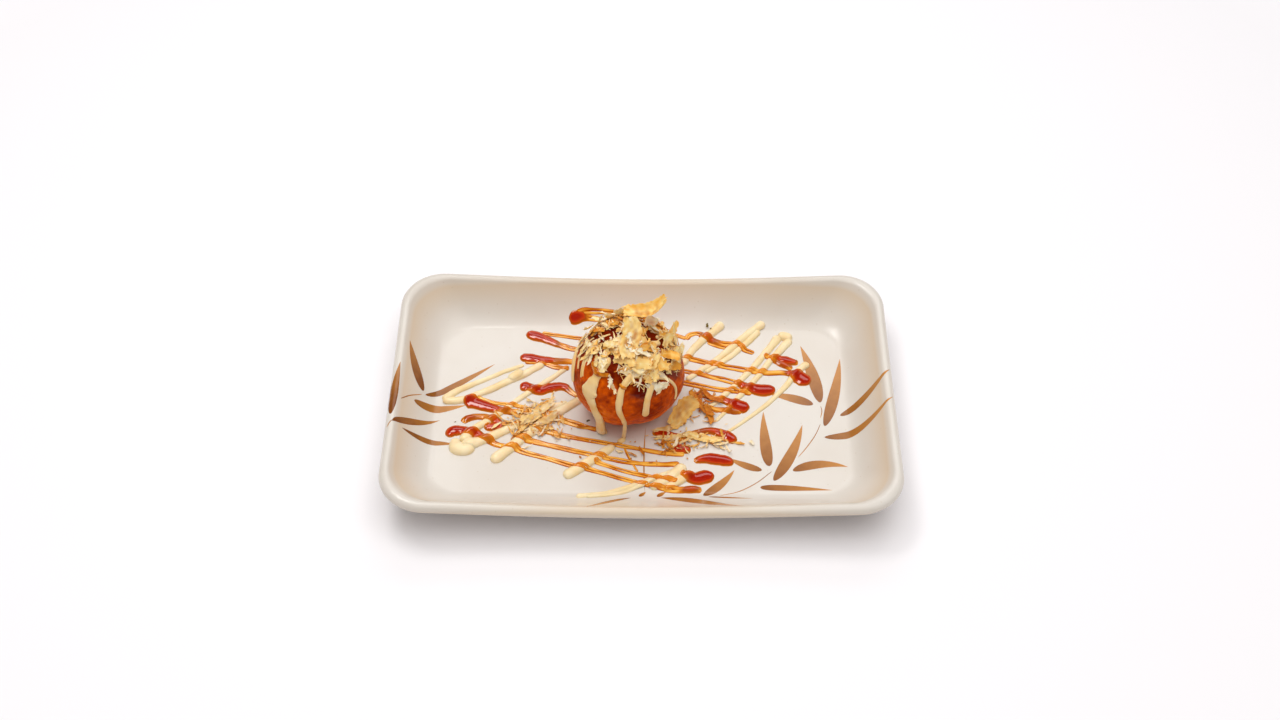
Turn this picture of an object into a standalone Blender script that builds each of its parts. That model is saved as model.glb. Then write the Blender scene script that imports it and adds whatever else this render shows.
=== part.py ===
"""One takoyaki ball under shaved bonito, served on a long stoneware plate.

The plate stands on its foot ring at z = 0, centred on the Z axis, with its long side along X.
The ball rests on the plate's floor, the bonito heap and the drips of mayonnaise lie on the ball,
and the piped mayonnaise lies on the floor round it. Units are metres.
"""

import math

import bmesh
import bpy
from mathutils import Quaternion, Vector

MM = 0.001
GAP = 0.3 * MM                      # clearance between pieces that touch

# Plate
PLATE_LENGTH = 200 * MM
PLATE_WIDTH = 121 * MM
RIM_RADIUS = 2.2 * MM               # the rolled rim is a round bead
RIM_TOP = 21.8 * MM                 # height of the rim at the four corners
LONG_SIDE_DIP = 3.6 * MM            # how far the rim sinks half way along a long side
SHORT_SIDE_DIP = 1 * MM
CORNER_RADIUS = 17 * MM             # of the rim's centre line, seen from above
CORNER_SHRINK = 0.25                # how much the corner radius loses for each unit of inset
WALL_RUN = 13 * MM                  # from the rim's centre line in to the floor
WALL_FILLET = 0.3                   # share of the wall that bends out of the floor
FLOOR_TOP = 6 * MM
OUTER_WALL_TOP = 4.2 * MM           # below the rim's centre line, where the outer wall starts
OUTER_WALL_INSET = 1 * MM
UNDERSIDE = 1.8 * MM                # height of the recess inside the foot ring
FOOT_INSET = 12.5 * MM              # from the rim's centre line to the foot's outer edge
FOOT_ROUNDING = 0.6 * MM
FOOT_WIDTH = 4 * MM
CORNER_STEPS = 8
SIDE_STEPS = 8
WALL_STEPS = 8

# Ball
BALL_RADIUS = 22.2 * MM
BALL_HALF_HEIGHT = 20.6 * MM
BALL_SINK = 0.8 * MM                # the soft ball is flattened where it rests
BALL_X = -5.4 * MM
BALL_Y = 2.5 * MM
BALL_CENTRE = Vector((BALL_X, BALL_Y, FLOOR_TOP + GAP + BALL_HALF_HEIGHT - BALL_SINK))
BALL_SEGMENTS = 40
BALL_RINGS = 24
PLEATS = 7

# Bonito
HEAP_AZIMUTH = math.radians(20)     # the heap leans a little to the right
HEAP_TILT = math.radians(8)
HEAP_REACH = math.radians(55)       # polar angle round the heap's own axis
HEAP_BAY = 0.35                     # how far the edge draws back at the front left
BAY_AZIMUTH = math.radians(-125)
BAY_WIDTH = math.radians(38)
HEAP_THICKNESS = 4.6 * MM
HEAP_EDGE = 0.4                     # thickness at the edge, as a share of the whole
HEAP_SEGMENTS = 30
HEAP_RINGS = 9
FLAKE_THICKNESS = 0.5 * MM

# Mayonnaise
BEAD_FLATNESS = 0.75                # height of a bead's section as a share of its width
BEAD_UNDERCUT = 0.25                # share of that height which the floor cuts off
BEAD_STEP = 4 * MM
BEAD_SIDES = 2                      # bevel resolution: 8 sides
DRIP_WIDTH = 3.2 * MM
DRIP_STEP = 2.5 * MM

# Each piped bead: its passes of the nozzle, as a width and points on the floor in millimetres
PIPED_BEADS = {
    "mayonnaise_back": [
        (3.4, [(18, 24), (20.5, 29.5), (25, 35.5), (32.4, 43)]),
    ],
    "mayonnaise_right_double": [
        (2.4, [(19, 15.5), (26, 21.3), (34, 28.5), (43, 37.6), (49.4, 43.2)]),
        (2.4, [(27, 19.4), (36, 27.2), (44.3, 35.4), (48.6, 41.6)]),
    ],
    "mayonnaise_right_fork": [
        (2.4, [(27, 0), (35.5, 8.8), (42, 16.6), (48, 24.6), (56.5, 36)]),
        (2.4, [(31, -5), (38.6, 4.4), (45.5, 13.4), (51.6, 22.6), (60, 34.5)]),
        (2.3, [(60.3, 34.1), (56.1, 36.3)]),
    ],
    "mayonnaise_right_outer": [
        (2.6, [(34, -12.8), (43.6, -4.8), (54.3, 5.7), (61.4, 15.4), (67.4, 22.6)]),
    ],
    "mayonnaise_left_loop": [
        (2.3, [(-79.4, 3), (-73.5, 9), (-63.5, 14.6), (-56.5, 18.5), (-49, 21.4)]),
        (3, [(-79.4, 3), (-67, 5.6), (-56, 12.3), (-48.5, 17), (-41.5, 22.4)]),
    ],
    "mayonnaise_left_fork": [
        (2.6, [(-31.5, 20), (-40.3, 12), (-48, 5.5), (-55, -1.3), (-62, -7.5), (-70, -17)]),
        (5, [(-72.4, -19.6), (-70, -17)]),
        (3, [(-70, -17), (-61, -14.6), (-52, -10), (-44, -5), (-35, -0.5)]),
        (4, [(-57.5, -27), (-51, -20), (-44.5, -13.5), (-38.5, -6.5), (-28, 0.6)]),
    ],
    "mayonnaise_front_left": [
        (4, [(-29, -33.4), (-22, -28.6), (-14.5, -22.2)]),
    ],
    "mayonnaise_front": [
        (2.2, [(-24, -43), (-12, -41), (-2, -37.4), (11, -33.4)]),
        (3.6, [(4.5, -39), (10.5, -34), (16.5, -29.2)]),
    ],
}

# Each drip on the ball: points as azimuth and polar angle in degrees, from its top down
BALL_DRIPS = {
    "mayonnaise_drip_left": [(-131, 50), (-133, 66), (-133, 82), (-125, 98), (-121, 115)],
    "mayonnaise_drip_middle": [(-91, 54), (-96, 63), (-98.5, 76), (-98.5, 90), (-95, 104), (-92, 118)],
    "mayonnaise_drip_right": [(-65, 67), (-69, 74), (-71, 84), (-71, 95)],
}
# Where a drip reaches the floor, in millimetres
DRIP_LANDINGS = {
    "mayonnaise_drip_left": [(-15.2, -11.6)],
    "mayonnaise_drip_middle": [(-6.8, -15.2), (-8.4, -17.4)],
}

# Large single flakes: where the middle is, its length, width and rise, and how it is turned
CURLED_FLAKES = {
    "bonito_curl": (Vector((2.4, 12, 54.4)) * MM, 14.5 * MM, 5.5 * MM, 1.8 * MM, (3, -27, 0)),
    "bonito_flake": (Vector((17.4, -5, 10.6)) * MM, 12 * MM, 6.5 * MM, 1.4 * MM, (42, 6, 50)),
}


def clear_scene():
    for obj in list(bpy.data.objects):
        bpy.data.objects.remove(obj)


def make_material(name, colour, roughness, metallic=0.0):
    material = bpy.data.materials.new(name)
    material.use_nodes = True
    shader = material.node_tree.nodes["Principled BSDF"]
    shader.inputs["Base Color"].default_value = (*colour, 1)
    shader.inputs["Roughness"].default_value = roughness
    shader.inputs["Metallic"].default_value = metallic
    return material


def mesh_from_bmesh(name, bm):
    bmesh.ops.recalc_face_normals(bm, faces=bm.faces)
    mesh = bpy.data.meshes.new(name)
    bm.to_mesh(mesh)
    bm.free()
    return mesh


def add_object(name, mesh, material, collection):
    obj = bpy.data.objects.new(name, mesh)
    mesh.materials.clear()
    mesh.materials.append(material)
    mesh.shade_smooth()
    mesh.set_sharp_from_angle(angle=math.radians(40))
    collection.objects.link(obj)
    return obj


# The plate is a loft: each ring is a rounded rectangle set in from the rim's centre line

def rounded_rectangle(half_x, half_y, radius):
    """Points of a rounded rectangle, anticlockwise, with the same count for every size."""
    corners = []
    for sign_x, sign_y, start in ((1, 1, 0), (-1, 1, 90), (-1, -1, 180), (1, -1, 270)):
        centre = Vector((sign_x * (half_x - radius), sign_y * (half_y - radius)))
        angles = [math.radians(start + 90 * i / CORNER_STEPS) for i in range(CORNER_STEPS + 1)]
        corners.append([centre + radius * Vector((math.cos(a), math.sin(a))) for a in angles])
    points = []
    for corner, following in zip(corners, corners[1:] + corners[:1]):
        points += corner
        points += [corner[-1].lerp(following[0], i / SIDE_STEPS) for i in range(1, SIDE_STEPS)]
    return points


def plate_ring(inset):
    half_x = PLATE_LENGTH / 2 - RIM_RADIUS - inset
    half_y = PLATE_WIDTH / 2 - RIM_RADIUS - inset
    return rounded_rectangle(half_x, half_y, CORNER_RADIUS - CORNER_SHRINK * inset)


def rim_dip(point):
    """How far the rim lies under its corner height, at a point of its centre line."""
    along = point.x / (PLATE_LENGTH / 2 - RIM_RADIUS)
    across = point.y / (PLATE_WIDTH / 2 - RIM_RADIUS)
    on_long_side = max(0, 1 - along**2) ** 1.5 * across**4
    on_short_side = max(0, 1 - across**2) ** 1.5 * along**8
    return LONG_SIDE_DIP * on_long_side + SHORT_SIDE_DIP * on_short_side


def wall_rise(share):
    """The wall's height from 0 at the floor to 1 at the rim: a fillet that runs into a slope."""
    full = math.hypot(1, WALL_FILLET) - WALL_FILLET
    return (math.hypot(share, WALL_FILLET) - WALL_FILLET) / full


def plate_profile():
    """(inset, height, share of the rim's dip) from the floor's edge over the rim to the recess."""
    rim_height = RIM_TOP - RIM_RADIUS
    profile = []
    for i in range(WALL_STEPS + 1):
        share = i / WALL_STEPS
        rise = wall_rise(share)
        inset = WALL_RUN - share * (WALL_RUN - RIM_RADIUS)
        profile.append((inset, FLOOR_TOP + rise * (rim_height - FLOOR_TOP), rise))
    for degrees in range(150, -61, -30):
        angle = math.radians(degrees)
        inset = -RIM_RADIUS * math.cos(angle)
        profile.append((inset, rim_height + RIM_RADIUS * math.sin(angle), 1))
    outer_top = rim_height - OUTER_WALL_TOP
    for share in (0, 0.35, 0.7, 1):
        inset = OUTER_WALL_INSET + share * (FOOT_INSET - OUTER_WALL_INSET)
        profile.append((inset, outer_top + share * (UNDERSIDE - outer_top), 1 - share))
    foot_inner = FOOT_INSET + FOOT_WIDTH
    profile.append((FOOT_INSET + FOOT_ROUNDING, 0, 0))
    profile.append((foot_inner, 0, 0))
    profile.append((foot_inner + UNDERSIDE, UNDERSIDE, 0))
    return profile


def make_plate(material, collection):
    dips = [rim_dip(point) for point in plate_ring(0)]
    bm = bmesh.new()
    rings = []
    for inset, height, dip_share in plate_profile():
        ring = plate_ring(inset)
        rings.append([
            bm.verts.new((*point, height - dip_share * dip)) for point, dip in zip(ring, dips)
        ])
    for ring, following in zip(rings, rings[1:]):
        for i in range(len(ring)):
            j = (i + 1) % len(ring)
            bm.faces.new((ring[i], ring[j], following[j], following[i]))
    bm.faces.new(rings[0])
    bm.faces.new(rings[-1])
    return add_object("plate", mesh_from_bmesh("plate", bm), material, collection)


# The ball's skin is a formula, so that what lies on the ball follows it

def ball_point(direction, height=0):
    """The point at a height over the ball's skin, in a unit direction from its centre."""
    x, y, z = direction
    lumps = 0.012 * math.sin(4.3 * x + 1.1) * math.sin(3.7 * y + 0.4)
    lumps += 0.008 * math.sin(5.1 * z + 2 * x)
    low = max(0, 0.6 - z) * (x * x + y * y)
    pleats = 0.012 * low * math.cos(PLEATS * math.atan2(y, x) + 0.6)
    size = 1 + lumps + pleats
    flat = Vector((x * BALL_RADIUS, y * BALL_RADIUS, z * BALL_HALF_HEIGHT))
    return BALL_CENTRE + size * flat + height * Vector(direction)


def polar_direction(azimuth, polar):
    return Vector((
        math.sin(polar) * math.cos(azimuth),
        math.sin(polar) * math.sin(azimuth),
        math.cos(polar),
    ))


def make_ball(material, collection):
    bm = bmesh.new()
    bmesh.ops.create_uvsphere(bm, u_segments=BALL_SEGMENTS, v_segments=BALL_RINGS, radius=1)
    for vert in bm.verts:
        vert.co = ball_point(vert.co.normalized())
        vert.co.z = max(vert.co.z, FLOOR_TOP + GAP)
    return add_object("takoyaki_ball", mesh_from_bmesh("takoyaki_ball", bm), material, collection)


def heap_edge(azimuth):
    """Polar angle of the heap's uneven edge, round the heap's own axis."""
    from_bay = (azimuth - BAY_AZIMUTH + math.pi) % math.tau - math.pi
    bay = HEAP_BAY * math.exp(-((from_bay / BAY_WIDTH) ** 2))
    tongues = 0.09 * math.sin(4 * azimuth + 1.6) + 0.05 * math.sin(9 * azimuth)
    return HEAP_REACH * (1 - bay + tongues)


def heap_depth(azimuth, share):
    """Thickness as a share of the greatest, from the heap's middle (0) to its edge (1)."""
    dome = HEAP_EDGE + (1 - HEAP_EDGE) * (1 - share**2)
    lumps = 0.25 * share * math.sin(4 * azimuth + 5 * share) * math.sin(9 * share + 1)
    return dome * (1 + lumps)


def make_heap(material, collection):
    """The underside follows the ball's skin and the top is raised by the heap's depth."""
    axis = polar_direction(HEAP_AZIMUTH, HEAP_TILT)
    turn = Vector((0, 0, 1)).rotation_difference(axis)
    bm = bmesh.new()
    bmesh.ops.create_uvsphere(bm, u_segments=HEAP_SEGMENTS, v_segments=2 * HEAP_RINGS, radius=1)
    for vert in bm.verts:
        azimuth = math.atan2(vert.co.y, vert.co.x)
        share = math.acos(max(-1, min(1, abs(vert.co.z)))) / (math.pi / 2)
        direction = turn @ polar_direction(azimuth, share * heap_edge(azimuth))
        thickness = HEAP_THICKNESS * heap_depth(azimuth, share)
        if vert.co.z > 0.01:
            height = thickness
        elif vert.co.z < -0.01:
            height = 0
        else:
            height = thickness / 2
        vert.co = ball_point(direction, 2 * GAP + height)
    return add_object("bonito_heap", mesh_from_bmesh("bonito_heap", bm), material, collection)


def make_flake(name, size, material, collection):
    """A shaving rolled into half a cone: a grid bent round its length, thickened by Solidify."""
    middle, length, width, rise, turns = size
    bm = bmesh.new()
    bmesh.ops.create_grid(bm, x_segments=10, y_segments=5, size=1)
    for vert in bm.verts:
        along, across = vert.co.x, vert.co.y
        half_width = width / 2 * (0.62 - 0.38 * along)
        bend = math.radians(75) * across
        vert.co = Vector((
            along * length / 2,
            half_width * math.sin(bend),
            rise * math.cos(bend),
        ))
    turn = Quaternion((0, 0, 1), math.radians(turns[0]))
    turn @= Quaternion((0, 1, 0), math.radians(turns[1]))
    turn @= Quaternion((1, 0, 0), math.radians(turns[2]))
    for vert in bm.verts:
        vert.co = middle + turn @ vert.co
    obj = add_object(name, mesh_from_bmesh(name, bm), material, collection)
    solidify = obj.modifiers.new("thickness", "SOLIDIFY")
    solidify.thickness = FLAKE_THICKNESS
    solidify.offset = 0
    return obj


# Mayonnaise: tubes with round ends, flattened on the floor or laid on the ball

def smooth_path(points, step):
    """Points about a step apart along a Catmull-Rom curve through the given ones."""
    ends = [2 * points[0] - points[1]] + points + [2 * points[-1] - points[-2]]
    path = []
    for before, start, end, after in zip(ends, ends[1:], ends[2:], ends[3:]):
        count = max(1, round((end - start).length / step))
        for i in range(count):
            t = i / count
            path.append(0.5 * (
                2 * start + t * (end - before)
                + t**2 * (2 * before - 5 * start + 4 * end - after)
                + t**3 * (3 * start - before - 3 * end + after)
            ))
    return path + [points[-1]]


def tube_mesh(name, path, radius):
    """A closed tube along a path, whose radius shrinks over round ends."""
    start = (path[0] - path[1]).normalized() * radius
    end = (path[-1] - path[-2]).normalized() * radius
    round_end = ((0.95, 0.35), (0.6, 0.8))
    spine = [(path[0] + share * start, size) for share, size in round_end]
    spine += [(point, 1) for point in path]
    spine += [(path[-1] + share * end, size) for share, size in reversed(round_end)]
    curve = bpy.data.curves.new(name, "CURVE")
    curve.dimensions = "3D"
    curve.bevel_depth = radius
    curve.bevel_resolution = BEAD_SIDES
    curve.use_fill_caps = True
    spline = curve.splines.new("POLY")
    spline.points.add(len(spine) - 1)
    for target, (point, size) in zip(spline.points, spine):
        target.co = (*point, 1)
        target.radius = size
    tube = bpy.data.objects.new(name, curve)
    bpy.context.scene.collection.objects.link(tube)
    graph = bpy.context.evaluated_depsgraph_get()
    mesh = bpy.data.meshes.new_from_object(tube.evaluated_get(graph))
    bpy.data.objects.remove(tube)
    bm = bmesh.new()
    bm.from_mesh(mesh)
    bmesh.ops.remove_doubles(bm, verts=bm.verts, dist=0.01 * MM)
    bm.to_mesh(mesh)
    bm.free()
    return mesh


def bead_mesh(name, width, points):
    """A tube at floor height, flattened to a bead's section with a flat underside."""
    path = smooth_path([Vector((x, y, 0)) * MM for x, y in points], BEAD_STEP)
    mesh = tube_mesh(name, path, width * MM / 2)
    height = width * MM * BEAD_FLATNESS
    for vert in mesh.vertices:
        section = vert.co.z * BEAD_FLATNESS + height * (0.5 - BEAD_UNDERCUT)
        vert.co.z = FLOOR_TOP + GAP + max(0, section)
    return mesh


def make_bead(name, passes, material, collection, cutters):
    """The passes of one bead run into each other, so they are joined by Boolean unions."""
    meshes = [bead_mesh(name, width, points) for width, points in passes]
    bead = add_object(name, meshes[0], material, collection)
    for i, mesh in enumerate(meshes[1:], start=1):
        joined = add_object(f"{name}_pass_{i}", mesh, material, cutters)
        joined.hide_render = True
        joined.display_type = "WIRE"
        union = bead.modifiers.new(f"pass_{i}", "BOOLEAN")
        union.operation = "UNION"
        union.object = joined
    return bead


def make_drip(name, angles, landing, material, collection):
    """A bead of mayonnaise that has run down the ball's skin, and perhaps onto the floor."""
    height = GAP + DRIP_WIDTH * BEAD_FLATNESS / 2
    points = [
        ball_point(polar_direction(math.radians(azimuth), math.radians(polar)), height)
        for azimuth, polar in angles
    ]
    points += [Vector((x * MM, y * MM, FLOOR_TOP + height)) for x, y in landing]
    mesh = tube_mesh(name, smooth_path(points, DRIP_STEP), DRIP_WIDTH * BEAD_FLATNESS / 2)
    for vert in mesh.vertices:
        vert.co.z = max(vert.co.z, FLOOR_TOP + GAP)
    return add_object(name, mesh, material, collection)


def main():
    clear_scene()
    collection = bpy.data.collections.new("takoyaki")
    cutters = bpy.data.collections.new("cutters")
    bpy.context.scene.collection.children.link(collection)
    bpy.context.scene.collection.children.link(cutters)

    stoneware = make_material("glazed stoneware", (0.83, 0.78, 0.69), 0.22)
    crust = make_material("fried batter", (0.32, 0.07, 0.012), 0.38)
    bonito = make_material("shaved bonito", (0.79, 0.58, 0.33), 0.6)
    mayonnaise = make_material("mayonnaise", (0.86, 0.74, 0.46), 0.3)

    make_plate(stoneware, collection)
    make_ball(crust, collection)
    make_heap(bonito, collection)
    for name, size in CURLED_FLAKES.items():
        make_flake(name, size, bonito, collection)
    for name, passes in PIPED_BEADS.items():
        make_bead(name, passes, mayonnaise, collection, cutters)
    for name, angles in BALL_DRIPS.items():
        make_drip(name, angles, DRIP_LANDINGS.get(name, []), mayonnaise, collection)


main()
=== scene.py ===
"""Looks of one plated takoyaki ball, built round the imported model."""

import logging
import math
from dataclasses import dataclass, field
from enum import StrEnum
from typing import Any, Callable, ClassVar, Iterable, Sequence

import bpy
import numpy as np
from mathutils import Euler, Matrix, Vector

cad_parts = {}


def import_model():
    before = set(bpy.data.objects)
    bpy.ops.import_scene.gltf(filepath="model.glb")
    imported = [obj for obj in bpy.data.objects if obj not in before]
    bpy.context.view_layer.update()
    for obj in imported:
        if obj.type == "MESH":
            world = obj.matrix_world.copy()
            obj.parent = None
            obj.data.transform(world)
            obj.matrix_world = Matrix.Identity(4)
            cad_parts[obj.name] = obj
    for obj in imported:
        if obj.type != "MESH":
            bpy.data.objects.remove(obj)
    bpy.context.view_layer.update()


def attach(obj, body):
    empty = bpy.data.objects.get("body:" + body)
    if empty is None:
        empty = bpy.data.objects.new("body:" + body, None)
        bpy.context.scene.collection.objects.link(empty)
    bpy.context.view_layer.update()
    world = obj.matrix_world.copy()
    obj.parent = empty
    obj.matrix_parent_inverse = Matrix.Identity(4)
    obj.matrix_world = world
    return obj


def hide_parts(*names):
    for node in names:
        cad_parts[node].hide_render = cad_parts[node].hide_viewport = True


LOG = logging.getLogger("takoyaki")
MM = 0.001
Array = np.ndarray
Turn = tuple[float, float, float]
Line = tuple[Turn, ...]
Material, Piece = bpy.types.Material, bpy.types.Object
Node, Socket, Tree = bpy.types.Node, bpy.types.NodeSocket, bpy.types.NodeTree

# faces that meet at a larger angle keep a crease between them
SHARP_ANGLE = math.radians(70)

# a colour mix node's two colours and its result, by index: their names aren't unique
MIX_UNDER, MIX_OVER, MIX_RESULT = 6, 7, 2


class Slot(StrEnum):
    """The record's material slots."""

    STONEWARE = "stoneware"
    BATTER_CRUST = "batter_crust"
    BONITO = "bonito"
    MAYONNAISE = "mayonnaise"
    BROWN_SAUCE = "brown_sauce"
    LEAF_PRINT = "leaf_print"


# ---------------- colour, nodes and meshes

def linear(hex_colour: str) -> tuple[float, float, float, float]:
    """Turn an sRGB hex colour into linear RGBA.

    Args:
        hex_colour: Six hex digits, without a hash sign.

    Returns:
        The linear red, green and blue values, and an alpha of 1.
    """
    channels = [int(hex_colour[i:i + 2], 16) / 255 for i in (0, 2, 4)]
    values = [c / 12.92 if c <= 0.04045 else ((c + 0.055) / 1.055) ** 2.4 for c in channels]
    return (*values, 1.0)


def connect(tree: Tree, node: Node, inputs: dict[str | int, Any] | None,
            links: dict[str | int, Socket] | None) -> None:
    """Give a node's inputs their values and their incoming links.

    Args:
        tree: The node tree.
        node: The node.
        inputs: Socket values, by socket name or index.
        links: Sockets to link into the node, by input name or index.
    """
    for name, value in (inputs or {}).items():
        node.inputs[name].default_value = value
    for name, socket in (links or {}).items():
        tree.links.new(socket, node.inputs[name])


def add_node(
    tree: Tree,
    kind: str,
    inputs: dict[str | int, Any] | None = None,
    links: dict[str | int, Socket] | None = None,
    stops: Sequence[tuple[float, str]] = (),
    **settings: Any,
) -> Node:
    """Add one shader node with its settings, values and incoming links.

    Args:
        tree: The material's node tree.
        kind: The shader node's type, such as "Bump".
        inputs: Socket values, by socket name or index.
        links: Sockets to link into this node, by input name or index.
        stops: Position and hex colour of each stop, for a colour ramp.
        settings: Properties of the node itself.

    Returns:
        The new node.
    """
    node = tree.nodes.new("ShaderNode" + kind)
    for name, value in settings.items():
        setattr(node, name, value)
    connect(tree, node, inputs, links)
    if stops:
        elements = node.color_ramp.elements
        while len(elements) < len(stops):
            elements.new(0.5)
        for element, (position, colour) in zip(elements, stops):
            element.position = position
            element.color = linear(colour)
    return node


def start_material(name: str) -> tuple[Material, Tree, Node]:
    """Make an empty node material.

    Args:
        name: The material's name.

    Returns:
        The material, its node tree and its Principled shader.
    """
    material = bpy.data.materials.new(name)
    material.use_nodes = True
    tree = material.node_tree
    return material, tree, tree.nodes["Principled BSDF"]


def pattern(tree: Tree, size: float, detail: float) -> Socket:
    """Add a cloudy pattern in the object's own coordinates.

    Args:
        tree: The material's node tree.
        size: How far apart its clouds are, in metres.
        detail: How many finer layers it has.

    Returns:
        The pattern, about 0.5 on average.
    """
    place = add_node(tree, "TexCoord").outputs["Object"]
    values = {"Scale": 1 / size, "Detail": detail}
    return add_node(tree, "TexNoise", values, {"Vector": place}).outputs["Fac"]


def toned(tree: Tree, value: str, streaks: Socket, weight: float,
          stops: Sequence[tuple[float, str]]) -> Socket:
    """Add a colour that follows value + weight * (pattern - 0.5).

    Args:
        tree: The material's node tree.
        value: Name of one of the mesh's per-point values.
        streaks: The pattern.
        weight: How much the pattern shifts the value.
        stops: Position and hex colour of each stop.

    Returns:
        The colour.
    """
    base = add_node(tree, "Attribute", attribute_name=value)
    shift = add_node(tree, "Math", {1: 0.5}, {0: streaks}, operation="SUBTRACT")
    tone = add_node(
        tree, "Math", {1: weight}, {0: shift.outputs[0], 2: base.outputs["Fac"]},
        operation="MULTIPLY_ADD",
    )
    links = {"Fac": tone.outputs[0]}
    return add_node(tree, "ValToRGB", links=links, stops=stops).outputs["Color"]


def overlaid(tree: Tree, under: Socket, over: str, value: str) -> Socket:
    """Turn a colour into a fixed one where one of the mesh's values rises to 1.

    Args:
        tree: The material's node tree.
        under: The colour where the value is 0.
        over: Hex colour where it is 1.
        value: The value's name.

    Returns:
        The mixed colour.
    """
    share = add_node(tree, "Attribute", attribute_name=value).outputs["Fac"]
    links = {"Factor": share, MIX_UNDER: under}
    mix = add_node(tree, "Mix", {MIX_OVER: linear(over)}, links, data_type="RGBA")
    return mix.outputs[MIX_RESULT]


def grid_quads(rows: int, columns: int, wrap: bool = False) -> Array:
    """Quads of a grid of points numbered row by row.

    Args:
        rows: Number of rows of points.
        columns: Number of points in a row.
        wrap: Whether the last point of a row joins the first.

    Returns:
        An (n, 4) array of point indices.
    """
    row, column = np.meshgrid(
        np.arange(rows - 1), np.arange(columns if wrap else columns - 1), indexing="ij"
    )
    following = (column + 1) % columns
    quads = np.stack([
        row * columns + column,
        row * columns + following,
        (row + 1) * columns + following,
        (row + 1) * columns + column,
    ], axis=-1)
    return quads.reshape(-1, 4)


@dataclass
class Shell:
    """Points, faces and per-point values of one closed surface, before it becomes a mesh."""

    points: Array
    quads: Array
    polygons: list[list[int]] = field(default_factory=list)
    values: dict[str, Array] = field(default_factory=dict)


def tube(points: Array, inside_out: bool = False, values: dict[str, Array] | None = None) -> Shell:
    """Close a grid of points into a tube: each row is a ring, and flat faces cap both ends.

    Args:
        points: (rows, columns, 3) grid.
        inside_out: Whether the rings run the other way round, so that the faces turn over.
        values: One value per point, for each name.

    Returns:
        One closed surface.
    """
    rows, columns = points.shape[:2]
    quads = grid_quads(rows, columns, wrap=True)
    first, last = list(range(columns)), list(range((rows - 1) * columns, rows * columns))
    ends = [first, last[::-1]] if inside_out else [first[::-1], last]
    return Shell(points.reshape(-1, 3), quads[:, ::-1] if inside_out else quads, ends, values or {})


def unit(vectors: Array) -> Array:
    """Vectors of length 1 in the same directions."""
    return vectors / (np.linalg.norm(vectors, axis=-1, keepdims=True) + 1e-12)


def distances(points: Array) -> Array:
    """How far along a line each of its points lies."""
    return np.concatenate([[0], np.cumsum(np.linalg.norm(np.diff(points, axis=0), axis=1))])


def resample(line: Array, distance: Array, places: Array) -> Array:
    """A line's columns at other distances along it."""
    return np.stack([np.interp(places, distance, column) for column in line.T], axis=1)


def merge(shells: Iterable[Shell]) -> Shell:
    """Put several closed surfaces into one, each keeping its own points.

    Args:
        shells: The surfaces, which all carry the same value names.

    Returns:
        One surface with all their points and faces.
    """
    shells = list(shells)
    starts = np.cumsum([0] + [len(s.points) for s in shells[:-1]])
    polygons = [
        [int(index + start) for index in polygon]
        for shell, start in zip(shells, starts) for polygon in shell.polygons
    ]
    names = shells[0].values
    return Shell(
        np.concatenate([s.points for s in shells]),
        np.concatenate([s.quads + start for s, start in zip(shells, starts)]),
        polygons,
        {name: np.concatenate([s.values[name] for s in shells]) for name in names},
    )


def make_piece(name: str, shell: Shell, material: Material,
               replaced: Sequence[str] = ()) -> Piece:
    """Turn a surface into a smooth mesh object that rides on the object's one body.

    Args:
        name: The piece's name.
        shell: Its surface, in metres in the shared frame.
        material: Its finish.
        replaced: The solids that this piece stands for.

    Returns:
        The new object.
    """
    mesh = bpy.data.meshes.new(name)
    sizes = [4] * len(shell.quads) + [len(p) for p in shell.polygons]
    corners = np.concatenate([shell.quads.ravel(), *[np.array(p) for p in shell.polygons]])
    starts = np.concatenate([[0], np.cumsum(sizes)[:-1]])
    mesh.vertices.add(len(shell.points))
    mesh.vertices.foreach_set("co", shell.points.astype(np.float32).ravel())
    mesh.loops.add(len(corners))
    mesh.loops.foreach_set("vertex_index", corners.astype(np.int32))
    mesh.polygons.add(len(sizes))
    mesh.polygons.foreach_set("loop_start", starts.astype(np.int32))
    for value_name, values in shell.values.items():
        attribute = mesh.attributes.new(value_name, "FLOAT", "POINT")
        attribute.data.foreach_set("value", values.astype(np.float32))
    mesh.update(calc_edges=True)
    mesh.validate()
    mesh.shade_smooth()
    mesh.set_sharp_from_angle(angle=SHARP_ANGLE)
    mesh.materials.append(material)
    piece = bpy.data.objects.new(name, mesh)
    bpy.context.scene.collection.objects.link(piece)
    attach(piece, "root")
    if replaced:
        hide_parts(*replaced)
    LOG.info("%s: %d points, %d faces", name, len(shell.points), len(sizes))
    return piece


# ---------------- the plate

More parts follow.
